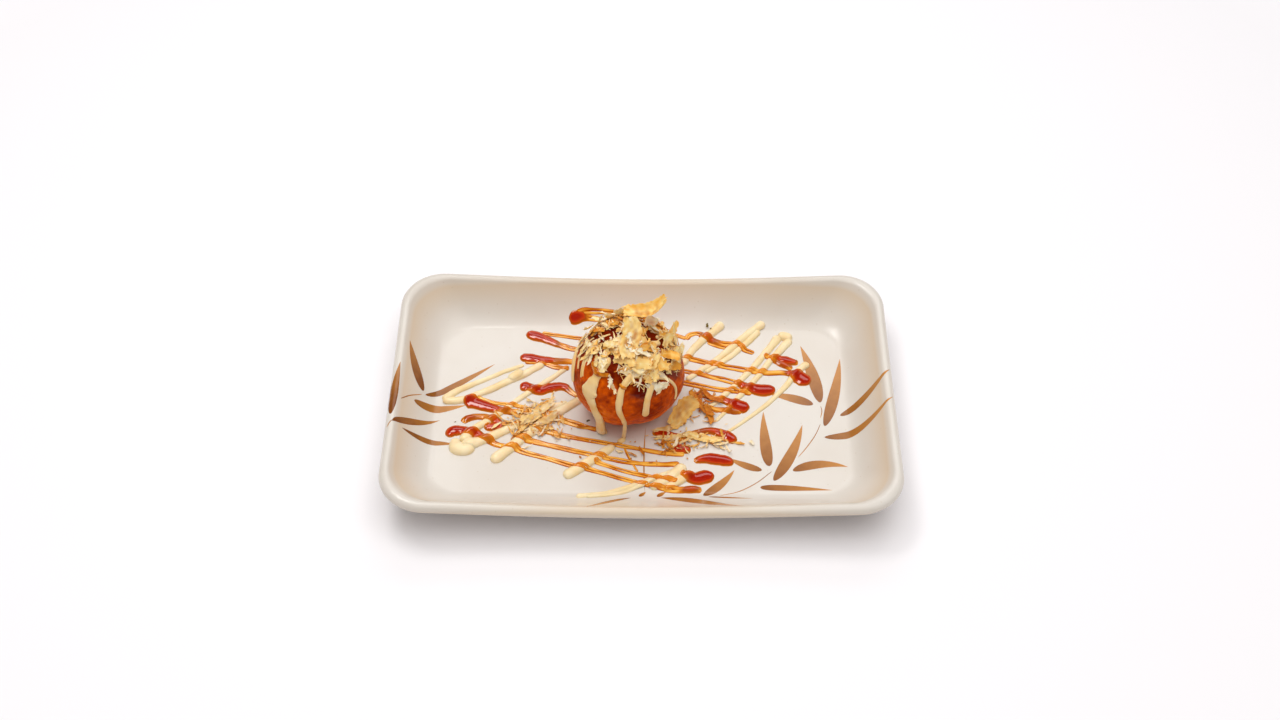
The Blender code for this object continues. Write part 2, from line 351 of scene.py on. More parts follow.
@dataclass(frozen=True)
class PlateShape:
    """The plate's form as formulas: where its surface lies over any point of the table.

    Everything that lies on the plate follows it. Rim and floor have the solid plate's sizes; the
    wall is wider and softer at its foot.
    """

    half_x: float = 97.8 * MM
    half_y: float = 58.3 * MM
    corner: float = 17 * MM
    corner_shrink: float = 0.25
    rim_radius: float = 2.2 * MM
    rim_height: float = 19.6 * MM
    long_dip: float = 3.6 * MM
    short_dip: float = 1 * MM
    wall_run: float = 17 * MM
    fillet: float = 0.7
    floor: float = 6 * MM
    lip_turn: float = math.radians(57)

    def ring(self, inset: float, corner_steps: int = 20, side_steps: int = 26) -> Array:
        """Points of the rounded rectangle that lies an inset inside the rim's centre line.

        Each corner is a quarter circle and each side a row of even steps.

        Args:
            inset: Distance in from the rim's centre line.
            corner_steps: Steps round each corner.
            side_steps: Steps along each side.

        Returns:
            An (n, 2) array, anticlockwise.
        """
        radius = self.corner - self.corner_shrink * inset
        half = np.array([self.half_x - inset, self.half_y - inset])
        turns = np.radians(np.linspace(0, 90, corner_steps + 1))
        corners = []
        for i, signs in enumerate(((1, 1), (-1, 1), (-1, -1), (1, -1))):
            angle = turns + i * math.pi / 2
            arc = np.stack([np.cos(angle), np.sin(angle)], axis=1) * radius
            corners.append(np.array(signs) * (half - radius) + arc)
        shares = np.arange(1, side_steps)[:, None] / side_steps
        parts = []
        for arc, following in zip(corners, corners[1:] + corners[:1]):
            parts += [arc, arc[-1] + shares * (following[0] - arc[-1])]
        return np.concatenate(parts)

    def dip(self, along: Array, across: Array) -> Array:
        """How far the rim sinks under its corners: a smooth bow on each side, none at a corner.

        Args:
            along: x as a share of the half length.
            across: y as a share of the half width.

        Returns:
            The dip at each point.
        """
        long_side = np.maximum(0, 1 - along**2) ** 1.5 * across**4
        short_side = np.maximum(0, 1 - across**2) ** 1.5 * along**8
        return self.long_dip * long_side + self.short_dip * short_side

    def rise(self, share: Array) -> Array:
        """The wall from 0 at the floor to 1 at the rim: a hyperbola, so a fillet and a slope."""
        full = math.hypot(1, self.fillet) - self.fillet
        return (np.hypot(share, self.fillet) - self.fillet) / full

    def inset(self, x: Array, y: Array) -> Array:
        """How far each point lies inside the rim's centre line, found by halving an interval.

        Args:
            x: x of each point.
            y: y of each point.

        Returns:
            The inset, at most the wall's run.
        """
        x, y = np.abs(x), np.abs(y)
        low = np.full(np.shape(x), -self.rim_radius)
        high = np.full(np.shape(x), self.wall_run)
        for _ in range(24):
            middle = (low + high) / 2
            radius = self.corner - self.corner_shrink * middle
            past_x = x - (self.half_x - middle - radius)
            past_y = y - (self.half_y - middle - radius)
            outside = np.hypot(np.maximum(past_x, 0), np.maximum(past_y, 0))
            outside = outside + np.minimum(np.maximum(past_x, past_y), 0) - radius
            high = np.where(outside > 0, middle, high)
            low = np.where(outside > 0, low, middle)
        return low

    def height_at(self, x: Array, y: Array, inset: Array) -> Array:
        """Height of the upper surface where the inset is known.

        The floor is flat and the wall follows rise(). It runs into the rim's round lip at the
        turn where their slopes are the same.

        Args:
            x: x of each point.
            y: y of each point.
            inset: How far each lies inside the rim's centre line.

        Returns:
            The heights.
        """
        touch = self.rim_radius * math.sin(self.lip_turn)
        share = np.clip((self.wall_run - inset) / (self.wall_run - touch), 0, 1)
        along = np.clip(x / (self.half_x - inset), -1, 1)
        across = np.clip(y / (self.half_y - inset), -1, 1)
        rim = self.rim_height - self.dip(along, across)
        top = rim + self.rim_radius * math.cos(self.lip_turn)
        wall = self.floor + self.rise(share) * (top - self.floor)
        lip = np.sqrt(np.maximum(0, self.rim_radius**2 - inset**2))
        return np.where(inset < touch, rim + lip, wall)

    def height(self, x: Array, y: Array) -> Array:
        """Height of the upper surface over any points of the table."""
        return self.height_at(x, y, self.inset(x, y))


@dataclass(frozen=True)
class CreamGlaze:
    """Cream glaze on stoneware: dipped and fired, so glossy, with soft clouds and iron specks.

    It is light on the floor and on the rim's top. The walls, the outer side and the rim's sides carry
    painted shade: a warmer, darker tone where shade and warm bounce fall.
    """

    light: str = "D9D3CC"
    dark: str = "D3CBC2"
    # painted shade: the warmer, darker tone of the walls, the outer side and the rim's sides
    wall: str = "D6C4AE"
    speck: str = "BFAE98"
    ior: float = 1.52
    roughness: float = 0.27
    cloud_size: float = 40 * MM
    speck_spacing: float = 3.846 * MM
    ripple_size: float = 14.286 * MM
    rim_top: float = 22 * MM
    # painted shade by height, from the foot's to the rim's: white takes the full warm, darker wall
    # tone
    thin: tuple[tuple[float, str], ...] = (
        (0.0, "FFFFFF"), (0.27, "000000"), (0.5, "808080"), (0.82, "FFFFFF"), (0.88, "A0A0A0"),
        (0.97, "000000"),
    )

    def make(self) -> Material:
        """Build the material: wide clouds, painted shade on the walls by height, specks half a
        millimetre across, faint ripples.

        Returns:
            The material.
        """
        material, tree, shader = start_material("cream_glazed_stoneware")
        place = {"Vector": add_node(tree, "TexCoord").outputs["Object"]}
        ground = add_node(
            tree, "ValToRGB", links={"Fac": pattern(tree, self.cloud_size, 3.0)},
            stops=[(0.35, self.dark), (0.65, self.light)],
        )
        height = add_node(tree, "SeparateXYZ", links=place)
        level = add_node(
            tree, "MapRange", {"From Max": self.rim_top}, {"Value": height.outputs["Z"]},
        )
        thin = add_node(
            tree, "ValToRGB", links={"Fac": level.outputs["Result"]}, stops=self.thin,
        )
        # painted shade: the wall tone is mixed in by height
        wall_shaded = add_node(
            tree, "Mix", {MIX_OVER: linear(self.wall)},
            {"Factor": thin.outputs["Color"], MIX_UNDER: ground.outputs["Color"]},
            data_type="RGBA",
        )
        specks = add_node(
            tree, "TexVoronoi", {"Scale": 1 / self.speck_spacing, "Randomness": 1.0},
            place,
        )
        mask = add_node(
            tree, "MapRange",
            {"From Min": 0.05, "From Max": 0.1, "To Min": 0.35, "To Max": 0.0},
            {"Value": specks.outputs["Distance"]},
        )
        mixed = add_node(
            tree, "Mix", {MIX_OVER: linear(self.speck)},
            {"Factor": mask.outputs["Result"], MIX_UNDER: wall_shaded.outputs[MIX_RESULT]},
            data_type="RGBA",
        )
        bump = add_node(
            tree, "Bump", {"Strength": 0.05, "Distance": 1 * MM},
            {"Height": pattern(tree, self.ripple_size, 2.0)},
        )
        connect(
            tree, shader,
            {"Roughness": self.roughness, "IOR": self.ior, "Coat Weight": 0.25,
             "Coat Roughness": 0.2},
            {"Base Color": mixed.outputs[MIX_RESULT], "Normal": bump.outputs["Normal"]},
        )
        return material


@dataclass
class Plate:
    """The long plate: a loft of rings from the floor over the rolled rim to the foot."""

    shape: PlateShape = PlateShape()
    underside: float = 1.8 * MM
    foot_inset: float = 12.5 * MM
    foot_width: float = 4 * MM
    outer_top: float = 4.2 * MM
    outer_inset: float = 1 * MM
    belly: float = 0.5 * MM

    def profile(self) -> Array:
        """Work out the rings under the upper surface.

        The rim's outer half is an arc. The outer wall is a slightly bellied slope, and the foot
        a low ring with rounded edges.

        Returns:
            Inset, height and share of the rim's dip of every ring.
        """
        shape = self.shape
        angles = np.radians(np.arange(90, -66, -12))
        bead = np.stack([
            -shape.rim_radius * np.cos(angles),
            shape.rim_height + shape.rim_radius * np.sin(angles),
            np.ones_like(angles),
        ], axis=1)
        share = np.linspace(0, 1, 12)
        top = shape.rim_height - self.outer_top
        belly = self.belly * np.sin(math.pi * share)
        wall = np.stack([
            self.outer_inset + share * (self.foot_inset - self.outer_inset) + belly,
            top + share * (self.underside - top),
            1 - share,
        ], axis=1)
        inner = self.foot_inset + self.foot_width
        foot = np.array([
            [self.foot_inset + 0.2 * MM, 0.5 * MM, 0],
            [self.foot_inset + 0.6 * MM, 0, 0],
            [inner - 0.4 * MM, 0, 0],
            [inner, 0.4 * MM, 0],
            [inner + self.underside, self.underside, 0],
        ])
        return np.concatenate([bead, wall, foot])

    def build(self) -> Shell:
        """Loft the rings, from the floor's edge over the rim to the underside.

        Returns:
            The plate as one closed surface.
        """
        shape = self.shape
        insets = np.concatenate([
            np.linspace(shape.wall_run, shape.rim_radius * math.sin(shape.lip_turn), 40),
            shape.rim_radius * np.sin(np.linspace(shape.lip_turn, 0, 8)[1:]),
        ])
        rings = []
        for inset in insets:
            plan = shape.ring(inset)
            height = shape.height_at(plan[:, 0], plan[:, 1], np.full(len(plan), inset))
            rings.append(np.column_stack([plan, height]))
        centre_line = shape.ring(0)
        dip = shape.dip(centre_line[:, 0] / shape.half_x, centre_line[:, 1] / shape.half_y)
        for inset, height, dip_share in self.profile():
            plan = shape.ring(inset)
            rings.append(np.column_stack([plan, height - dip_share * dip]))
        return tube(np.stack(rings), inside_out=True)

    def make(self, glaze: Material) -> Piece:
        """Build the plate's piece."""
        return make_piece("plate_body", self.build(), glaze, ["plate"])


# ---------------- the bamboo under the glaze

@dataclass(frozen=True)
class Leaf:
    """One brush-stroke leaf: from its stem end to its tip, with a bow to its left.

    Sizes are in millimetres on the plate's plan.
    """

    root: tuple[float, float]
    tip: tuple[float, float]
    width: float
    bow: float = 0.0
    belly: float = 0.35
    # per leaf: a plus prints it lighter; the left spray's minus values are painted shade, as it lies
    # on the shaded left wall
    print_and_shade_shift: float = 0.0


@dataclass(frozen=True)
class LeafPrint:
    """Iron-brown underglaze print: paler towards the tips, under the same gloss as the plate."""

    dark: str = "7C4415"
    light: str = "C4853E"
    streak_size: float = 2.857 * MM

    def make(self) -> Material:
        """Build the material: dark at the stem, light at the tip, with brush streaks.

        Returns:
            The material.
        """
        material, tree, shader = start_material("iron_brown_underglaze")
        streaks = pattern(tree, self.streak_size, 2.0)
        colour = toned(tree, "along", streaks, 0.35, [(0.0, self.dark), (1.0, self.light)])
        connect(tree, shader, {"Roughness": 0.2, "IOR": 1.52}, {"Base Color": colour})
        return material


@dataclass
class BambooPrint:
    """The sprays of bamboo, as films that follow the plate's surface."""

    shape: PlateShape
    proud: float = 0.035 * MM
    sunk: float = 0.15 * MM
    leaves: tuple[Leaf, ...] = (
        # left spray, mostly darkened as painted shade for the shaded left wall
        Leaf((-88.4, 4.6), (-94.7, 24.6), 3.4, 0.4, print_and_shade_shift=-0.3),
        Leaf((-98.3, -15.5), (-97, 11.3), 3.4, 0.3, print_and_shade_shift=-0.3),
        Leaf((-87.4, 3.4), (-60.8, 22.4), 3.0, -0.4, print_and_shade_shift=-0.1),
        Leaf((-91, -2.4), (-71, 0.8), 3.8, -0.7, 0.3, print_and_shade_shift=0.1),
        Leaf((-97.3, -18.8), (-81, -7), 2.6, 0.7, print_and_shade_shift=-0.25),
        Leaf((-93.8, -19.2), (-74, -19), 2.6, 0.5, 0.45, print_and_shade_shift=-0.2),
        # right spray
        Leaf((72.2, 3), (65.9, 33), 5.2, -0.8),
        Leaf((73.2, -9), (81.8, 26), 4.6, -1.0),
        Leaf((79.8, -3.6), (99.2, 8.6), 3.2, -0.8),
        Leaf((72.8, -14.6), (99.2, -5.4), 3.4, -2.4),
        Leaf((69.3, 2), (51.5, 7.4), 4.2, -0.6),
        Leaf((50.2, -29), (49, -2), 4.6, 0.6, 0.3),
        Leaf((51.6, -36), (64.3, -8.5), 4.6, -1.4),
        Leaf((59.3, -31.2), (81, -29.2), 4.0, 2.2),
        Leaf((47.2, -31), (34, -25), 3.2, 0.6),
        Leaf((24, -43.4), (36.4, -31), 3.6, -1.0),
        Leaf((46.2, -39.3), (74, -40.4), 2.8, 0.2, 0.25),
        Leaf((7.6, -45), (38.8, -56.8), 4.4, 2.2, 0.5),
        Leaf((26, -44.2), (43, -45.3), 0.9, 0.0),
        Leaf((-4, -45.2), (-20.4, -57.4), 2.2, -2.2, 0.5),
        Leaf((-0.8, -44.2), (1.8, -41.6), 1.6),
        Leaf((6.2, -44.4), (9.6, -41.6), 1.8, 0.2),
        Leaf((1.4, -41.8), (1.6, -10), 0.6, 0.5, 0.5, 0.1),
    )
    twigs: tuple[tuple[tuple[float, float], ...], ...] = (
        ((72.3, 1.2), (72.6, -1.6), (71.8, -5)),
        ((71.6, -8), (69.2, -13.6), (65.6, -19.4), (61.8, -24.6)),
        ((51, -31.6), (45, -37), (38, -41.2), (30.5, -43.4)),
        ((-95.3, -6.1), (-92.4, -1.4), (-88.6, 2.8)),
        ((-97.2, -18.3), (-98.2, -19.8), (-99, -22)),
    )

    def film(self, centre: Array, half_width: Array, print_and_shade_shift: float = 0.0) -> Shell:
        """Lay a closed film on the plate, its top just proud of the glaze and its underside in it.

        Args:
            centre: (n, 2) centre line.
            half_width: Half width at each of its points.
            print_and_shade_shift: How much paler than the others it is printed. Where it is negative
                on the left spray, it is painted shade for the shaded left wall.

        Returns:
            One closed surface.
        """
        side = unit(np.gradient(centre, axis=0))[:, ::-1] * [-1, 1]
        over = np.linspace(1, -1, 9)
        across = np.concatenate([over, over[::-1]])
        lift = np.repeat([1, -1], 9)
        plan = centre[:, None] + across[None, :, None] * (half_width[:, None] * side)[:, None]
        height = self.shape.height(plan[..., 0], plan[..., 1])
        height = height + np.where(lift > 0, self.proud, -self.sunk)
        points = np.concatenate([plan, height[..., None]], axis=2)
        # the leaf's shift: print, and painted shade on the left spray
        along = np.repeat(np.linspace(0.15, 1, len(centre)), len(across)) + print_and_shade_shift
        return tube(points, values={"along": along})

    def leaf(self, leaf: Leaf) -> Shell:
        """Widen a leaf quickly from its stem to its belly and taper it slowly to its tip.

        Its width is the sine of half a turn, shifted to the belly, and its centre line a parabola.

        Args:
            leaf: The leaf.

        Returns:
            One closed surface.
        """
        t = np.linspace(0, 1, 60)
        root, tip = np.array(leaf.root) * MM, np.array(leaf.tip) * MM
        chord = tip - root
        left = unit(chord)[::-1] * [-1, 1]
        centre = root + t[:, None] * chord + (4 * t * (1 - t) * leaf.bow * MM)[:, None] * left
        power = math.log(0.5) / math.log(leaf.belly)
        width = np.sin(math.pi * t**power) ** 0.85
        return self.film(centre, np.maximum(width, 0.02) * leaf.width * MM / 2, leaf.print_and_shade_shift)

    def twig(self, points: Sequence[tuple[float, float]]) -> Shell:
        """Make a fine stem a third of a millimetre wide, pointed at both ends.

        Args:
            points: Its turns in millimetres.

        Returns:
            One closed surface.
        """
        centre = smooth_path(np.array(points) * MM, 0.8 * MM)
        t = np.linspace(0, 1, len(centre))
        return self.film(centre, (0.05 + 0.14 * np.sin(math.pi * t) ** 0.4) * MM)

    def make(self, finish: Material) -> Piece:
        """Build all leaves and stems as one piece."""
        films = [self.leaf(leaf) for leaf in self.leaves] + [self.twig(t) for t in self.twigs]
        return make_piece("bamboo_print", merge(films), finish)


def smooth_path(points: Array, step: float) -> Array:
    """Even points along a Catmull-Rom curve through the given ones.

    Every span is a cubic through its two ends whose slopes are half the chord of its neighbours.

    Args:
        points: (n, d) array of points; columns past the third, such as a width, go along.
        step: Distance between the points that come back.

    Returns:
        An (m, d) array.
    """
    points = np.asarray(points, float)
    ends = np.concatenate([[2 * points[0] - points[1]], points, [2 * points[-1] - points[-2]]])
    before, start, end, after = ends[:-3], ends[1:-2], ends[2:-1], ends[3:]
    t = np.linspace(0, 1, 24, endpoint=False)[None, :, None]
    before, start, end, after = (a[:, None] for a in (before, start, end, after))
    curve = 0.5 * (
        2 * start + t * (end - before) + t**2 * (2 * before - 5 * start + 4 * end - after)
        + t**3 * (3 * start - before - 3 * end + after)
    )
    curve = np.concatenate([curve.reshape(-1, points.shape[1]), points[-1:]])
    distance = distances(curve[:, :3])
    count = max(3, int(round(distance[-1] / step)) + 1)
    return resample(curve, distance, np.linspace(0, distance[-1], count))


# ---------------- shapes that the food shares

class Noise:
    """Smooth value noise: random values at the corners of a cubic lattice, blended between them.

    A corner's value is looked up in a table by its three whole coordinates, each times a large
    prime number.
    """

    entries: int = 4096
    primes: tuple[int, int, int] = (73856093, 19349663, 83492791)

    def __init__(self, seed: int) -> None:
        """Draw the lattice's values from a seed."""
        self.table = np.random.default_rng(seed).uniform(-1, 1, self.entries)

    def at(self, points: Array, size: float, octaves: int = 1) -> Array:
        """Noise at each point, from about -1 to 1.

        Each octave halves the lattice and the weight. Between corners the blend is 3t^2 - 2t^3.

        Args:
            points: (..., 3) array.
            size: Edge of the largest lattice cell, in the points' unit.
            octaves: Number of lattices.

        Returns:
            One value for each point.
        """
        total = np.zeros(points.shape[:-1])
        for octave in range(octaves):
            scaled = points / size * 2**octave + 17.3 * octave
            cell = np.floor(scaled).astype(np.int64)
            part = scaled - cell
            blend = part * part * (3 - 2 * part)
            value = np.zeros(points.shape[:-1])
            for corner in np.ndindex(2, 2, 2):
                index = (cell + np.array(corner)) * self.primes
                key = index[..., 0] ^ index[..., 1] ^ index[..., 2]
                weight = np.prod(np.where(np.array(corner) == 1, blend, 1 - blend), axis=-1)
                value += weight * self.table[key % self.entries]
            total += value / 2**octave
        return total


class Relief:
    """Height of the mayonnaise on the plate, over a grid of cells, for what lies on both."""

    def __init__(self, shape: PlateShape, cell: float = 0.25 * MM) -> None:
        """Start from the bare plate, with a grid of cells that ends inside its rim.

        Args:
            shape: The plate's form.
            cell: Edge of a cell.
        """
        self.shape = shape
        self.cell = cell
        self.x, self.y = (np.arange(-half, half + 0.1 * MM, cell) for half in (96 * MM, 57 * MM))
        self.added = np.zeros((len(self.x), len(self.y)))
        self.soft = self.added

    def lay(self, centre: Array, half_width: Array, height: Array) -> None:
        """Add one bead: a half ellipse across its centre line, and the higher where two meet.

        Args:
            centre: (n, 2) centre line.
            half_width: Half width at each of its points.
            height: Height there.
        """
        reach = int(np.ceil(half_width.max() / self.cell)) + 1
        offsets = np.arange(-reach, reach + 1)
        column = np.round((centre[:, 0] - self.x[0]) / self.cell).astype(int)
        row = np.round((centre[:, 1] - self.y[0]) / self.cell).astype(int)
        i = column[:, None, None] + offsets[None, :, None]
        j = row[:, None, None] + offsets[None, None, :]
        i, j = np.broadcast_arrays(i, j)
        inside = (i >= 0) & (i < len(self.x)) & (j >= 0) & (j < len(self.y))
        i, j = np.clip(i, 0, len(self.x) - 1), np.clip(j, 0, len(self.y) - 1)
        away = np.hypot(self.x[i] - centre[:, 0, None, None], self.y[j] - centre[:, 1, None, None])
        share = np.maximum(0, 1 - (away / half_width[:, None, None]) ** 2)
        bead = np.where(inside, height[:, None, None] * np.sqrt(share), 0)
        np.maximum.at(self.added, (i.ravel(), j.ravel()), bead.ravel())

    def settle(self) -> None:
        """Soften the beads' edges, as a film of sauce bridges them: a mean over near cells."""
        soft = self.added
        for _ in range(3):
            padded = np.pad(soft, 1, mode="edge")
            soft = (padded[:-2, 1:-1] + padded[2:, 1:-1] + padded[1:-1, :-2] + padded[1:-1, 2:]
                    + 2 * padded[1:-1, 1:-1]) / 6
        self.soft = soft

    def sample(self, values: Array, x: Array, y: Array) -> Array:
        """Blend a grid's values between the four nearest cells.

        Args:
            values: The grid.
            x: x of each point.
            y: y of each point.

        Returns:
            The value at each point.
        """
        u = np.clip((x - self.x[0]) / self.cell, 0, len(self.x) - 1.001)
        v = np.clip((y - self.y[0]) / self.cell, 0, len(self.y) - 1.001)
        i, j = u.astype(int), v.astype(int)
        u, v = u - i, v - j
        near = values[i, j] * (1 - v) + values[i, j + 1] * v
        far = values[i + 1, j] * (1 - v) + values[i + 1, j + 1] * v
        return near * (1 - u) + far * u


def round_ends(distance: Array, start_radius: float, end_radius: float) -> Array:
    """Narrow a bead to a quarter circle at each end.

    Args:
        distance: Distance of each point along the bead.
        start_radius: Radius of its first end.
        end_radius: Radius of its last end.

    Returns:
        The share of its width that it has at each point.
    """
    total = distance[-1]
    start = np.clip(distance / start_radius, 0, 1)
    end = np.clip((total - distance) / end_radius, 0, 1)
    return np.sqrt(np.maximum(0, 1 - (1 - start) ** 2)) * np.sqrt(np.maximum(0, 1 - (1 - end) ** 2))


def bead_line(points: Sequence[Sequence[float]], step: float = 0.45 * MM) -> tuple[Array, Array]:
    """A bead's centre line and half widths, with rounded ends.

    The line is even inside, and its first and last points crowd as a cosine, so the round ends
    are smooth.

    Args:
        points: (x, y, ..., width) of the bead's turns, in millimetres.
        step: Distance between points along the line.

    Returns:
        The centre line and the half width at each of its points, in metres.
    """
    line = smooth_path(np.array(points, float) * MM, step / 3)
    centre, width = line[:, :-1], line[:, -1]
    distance = distances(centre)
    first, last = width[0] / 2, width[-1] / 2
    crowd = 1 - np.cos(np.linspace(0, math.pi / 2, 7))
    middle = np.arange(first, distance[-1] - last, step)[1:]
    places = np.concatenate([first * crowd, middle, distance[-1] - last * crowd[::-1]])
    places = np.unique(np.clip(places, 0, distance[-1]))
    centre = resample(centre, distance, places)
    width = np.interp(places, distance, width) * np.maximum(round_ends(places, first, last), 0.03)
    return centre, width / 2


def sweep_bead(centre: Array, normal: Array, half_width: Array, height: Array,
               sunk: Array | float = 0.12 * MM, columns: int = 18) -> Shell:
    """Carry a bead's section along a line on a surface.

    The section's top is a half ellipse, full at its foot, and its underside dips a little into
    the surface. Side is the tangent crossed with the normal.

    Args:
        centre: (n, 3) points on the surface.
        normal: (n, 3) unit normals there.
        half_width: Half width at each point.
        height: Height at each point.
        sunk: How deep the underside lies.
        columns: Points round the section.

    Returns:
        One closed surface.
    """
    side = unit(np.cross(unit(np.gradient(centre, axis=0)), normal))
    angle = np.linspace(0, math.tau, columns, endpoint=False)
    across, up = np.cos(angle), np.sin(angle)
    foot = np.where(up < 0, 0.9, 1.0)
    depth = np.broadcast_to(sunk, len(centre))[:, None]
    lift = np.where(up > 0, height[:, None] * np.abs(up) ** 0.9, depth * up)
    points = (
        centre[:, None]
        + (half_width[:, None] * (across * foot)[None])[..., None] * side[:, None]
        + lift[..., None] * normal[:, None]
    )
    return tube(points)


# ---------------- the ball

@dataclass(frozen=True)
class BallShape:
    """The ball's form as a formula: an ellipsoid with low lumps and, underneath, soft pleats."""

    radius: float = 22.2 * MM
    half_height: float = 20.6 * MM
    centre: tuple[float, float, float] = (-5.4 * MM, 2.5 * MM, 26.1 * MM)
    floor: float = 6.3 * MM
    pleats: int = 7

    def point(self, direction: Array, height: Array | float = 0.0) -> Array:
        """Put points on or over the skin.

        Args:
            direction: (..., 3) unit directions from the centre.
            height: Height over the skin.

        Returns:
            The points.
        """
        x, y, z = np.moveaxis(direction, -1, 0)
        lumps = 0.012 * np.sin(4.3 * x + 1.1) * np.sin(3.7 * y + 0.4)
        lumps = lumps + 0.008 * np.sin(5.1 * z + 2 * x)
        low = np.maximum(0, 0.6 - z) * (x * x + y * y)
        pleats = 0.012 * low * np.cos(self.pleats * np.arctan2(y, x) + 0.6)
        size = 1 + lumps + pleats
        flat = direction * np.array([self.radius, self.radius, self.half_height])
        offset = np.asarray(height)[..., None] * direction
        return np.array(self.centre) + size[..., None] * flat + offset

    @staticmethod
    def direction(azimuth: Array, polar: Array) -> Array:
        """Unit directions from an azimuth about Z and an angle from the top, in degrees."""
        a, p = np.radians(azimuth), np.radians(polar)
        return np.stack([np.sin(p) * np.cos(a), np.sin(p) * np.sin(a), np.cos(p)], axis=-1)


@dataclass(frozen=True)
class FriedBatter:
    """Wheat batter fried in oil: a thin crisp skin, toasted unevenly, with brushed brown sauce.

    Where the sauce lies it is darker, redder and wet; bare skin has a slight sheen and fine
    blisters.
    """

    pale: str = "F47A08"
    toasted: str = "CE5000"
    dark: str = "8C2600"
    sauce: str = "5E0E00"
    patch_size: float = 3.125 * MM
    patch_roughness: float = 0.72
    blister_size: float = 1.4286 * MM
    dry: float = 0.36
    wet: float = 0.1

    def make(self) -> Material:
        """Build the material: toasting in patches with painted light and shade by attribute, fine
        blisters, and sauce by attribute.

        Returns:
            The material.
        """
        material, tree, shader = start_material("fried_batter_crust")
        patches = pattern(tree, self.patch_size, 5.0)
        patches.node.inputs["Roughness"].default_value = self.patch_roughness
        # toasting, with painted light low down and painted shade in the dimples
        skin = toned(tree, "toast_light_and_shade", patches, 0.8,
                     [(0.15, self.pale), (0.5, self.toasted), (0.9, self.dark)])
        glaze = add_node(tree, "Attribute", attribute_name="glaze").outputs["Fac"]
        roughness = add_node(
            tree, "MapRange", {"To Min": self.dry, "To Max": self.wet}, {"Value": glaze},
        )
        coat = add_node(tree, "Math", {1: 0.3}, {0: glaze}, operation="MULTIPLY")
        bump = add_node(
            tree, "Bump", {"Strength": 0.55, "Distance": 0.6 * MM},
            {"Height": pattern(tree, self.blister_size, 4.0)},
        )
        connect(
            tree, shader,
            {"IOR": 1.47, "Specular IOR Level": 0.06, "Coat Roughness": 0.08},
            {"Base Color": overlaid(tree, skin, self.sauce, "glaze"),
             "Roughness": roughness.outputs["Result"], "Normal": bump.outputs["Normal"],
             "Coat Weight": coat.outputs[0]},
        )
        return material


@dataclass
class Ball:
    """The fried ball: a fine skin over the solid's form, with toasting, patches of sauce and painted
    light: paler low down, darker in the dimples.
    """

    shape: BallShape = BallShape()
    rows: int = 170
    columns: int = 280
    noise: Noise = field(default_factory=lambda: Noise(5))
    # how far down from the top the brushed sauce reaches: azimuth and angle, in degrees
    sauce_edge: tuple[tuple[float, float], ...] = (
        (-180, 48), (-155, 42), (-128, 50), (-110, 62), (-90, 77), (-70, 80), (-46, 68), (-20, 80),
        (0, 74), (40, 62), (90, 66), (140, 54), (180, 48),
    )

    def sauce_depth(self, azimuth: Array, polar: Array, direction: Array) -> Array:
        """How thickly sauce lies on the skin: full at the top, thin at a wavering edge.

        Args:
            azimuth: Azimuths in degrees.
            polar: Angles from the top in degrees.
            direction: The unit directions that both give.

        Returns:
            The film at each direction, from 0 to 1.
        """
        edge = np.interp(azimuth, *np.array(self.sauce_edge).T)
        edge = edge + 9 * self.noise.at(direction, 0.3, 3)
        film = np.clip((edge - polar) / 14, 0, 1)
        return film * np.clip(0.8 + 0.5 * self.noise.at(direction + 5, 0.25, 2), 0.25, 1)

    def build(self) -> Shell:
        """The solid's formula with dimples, blisters of 0.07 mm and up to 0.22 mm of sauce.

        Returns:
            The skin, with its sauce, and its toasting mixed with painted light low down and painted
            shade in the dimples.
        """
        polar = np.linspace(0.6, 179.4, self.rows)
        azimuth = np.linspace(-180, 180, self.columns, endpoint=False)
        azimuth, polar = np.meshgrid(azimuth, polar)
        direction = self.shape.direction(azimuth, polar)
        sauce = self.sauce_depth(azimuth, polar, direction)
        dimples = 0.16 * self.noise.at(direction, 0.34, 2)
        dimples = dimples - 0.2 * np.abs(self.noise.at(direction, 0.14, 3))
        blisters = 0.07 * self.noise.at(direction, 0.05, 2)
        points = self.shape.point(direction, (dimples + blisters + 0.22 * sauce) * MM)
        points[..., 2] = np.maximum(points[..., 2], self.shape.floor)
        # real toasting plus painted light: darker higher up and paler low down, standing in for bounce
        # light from the plate
        toast_light_and_shade = 0.42 + 0.28 * self.noise.at(direction, 0.5, 2) + 0.3 * direction[..., 2]
        # painted shade: darker in the dimples
        toast_light_and_shade = toast_light_and_shade + 1.1 * np.clip(-dimples, 0, 0.4) + 0.16 * self.noise.at(direction, 0.07, 2)
        return tube(points, True, {"glaze": sauce.ravel(), "toast_light_and_shade": toast_light_and_shade.ravel()})

    def make(self, finish: Material) -> Piece:
        """Build the ball's piece."""
        shell = self.build()
        return make_piece("takoyaki_crust", shell, finish, ["takoyaki_ball"])


def ball_line(ball: BallShape, points: Sequence[Sequence[float]]) -> Array:
    """A line over the ball's skin, as x, y, z and width in millimetres.

    The turns are joined smoothly in azimuth and angle, which are then put on the skin.

    Args:
        ball: The ball's form.
        points: Azimuth and angle from the top in degrees, width and, if not 0.12, height over the
            skin in millimetres.

    Returns:
        An (n, 4) array.
    """
    turns = smooth_path(np.array([(*point, 0.12)[:4] for point in points], float), 1.0)
    direction = ball.direction(turns[:, 0], turns[:, 1])
    return np.column_stack([ball.point(direction, turns[:, 3] * MM) / MM, turns[:, 2]])


# ---------------- mayonnaise

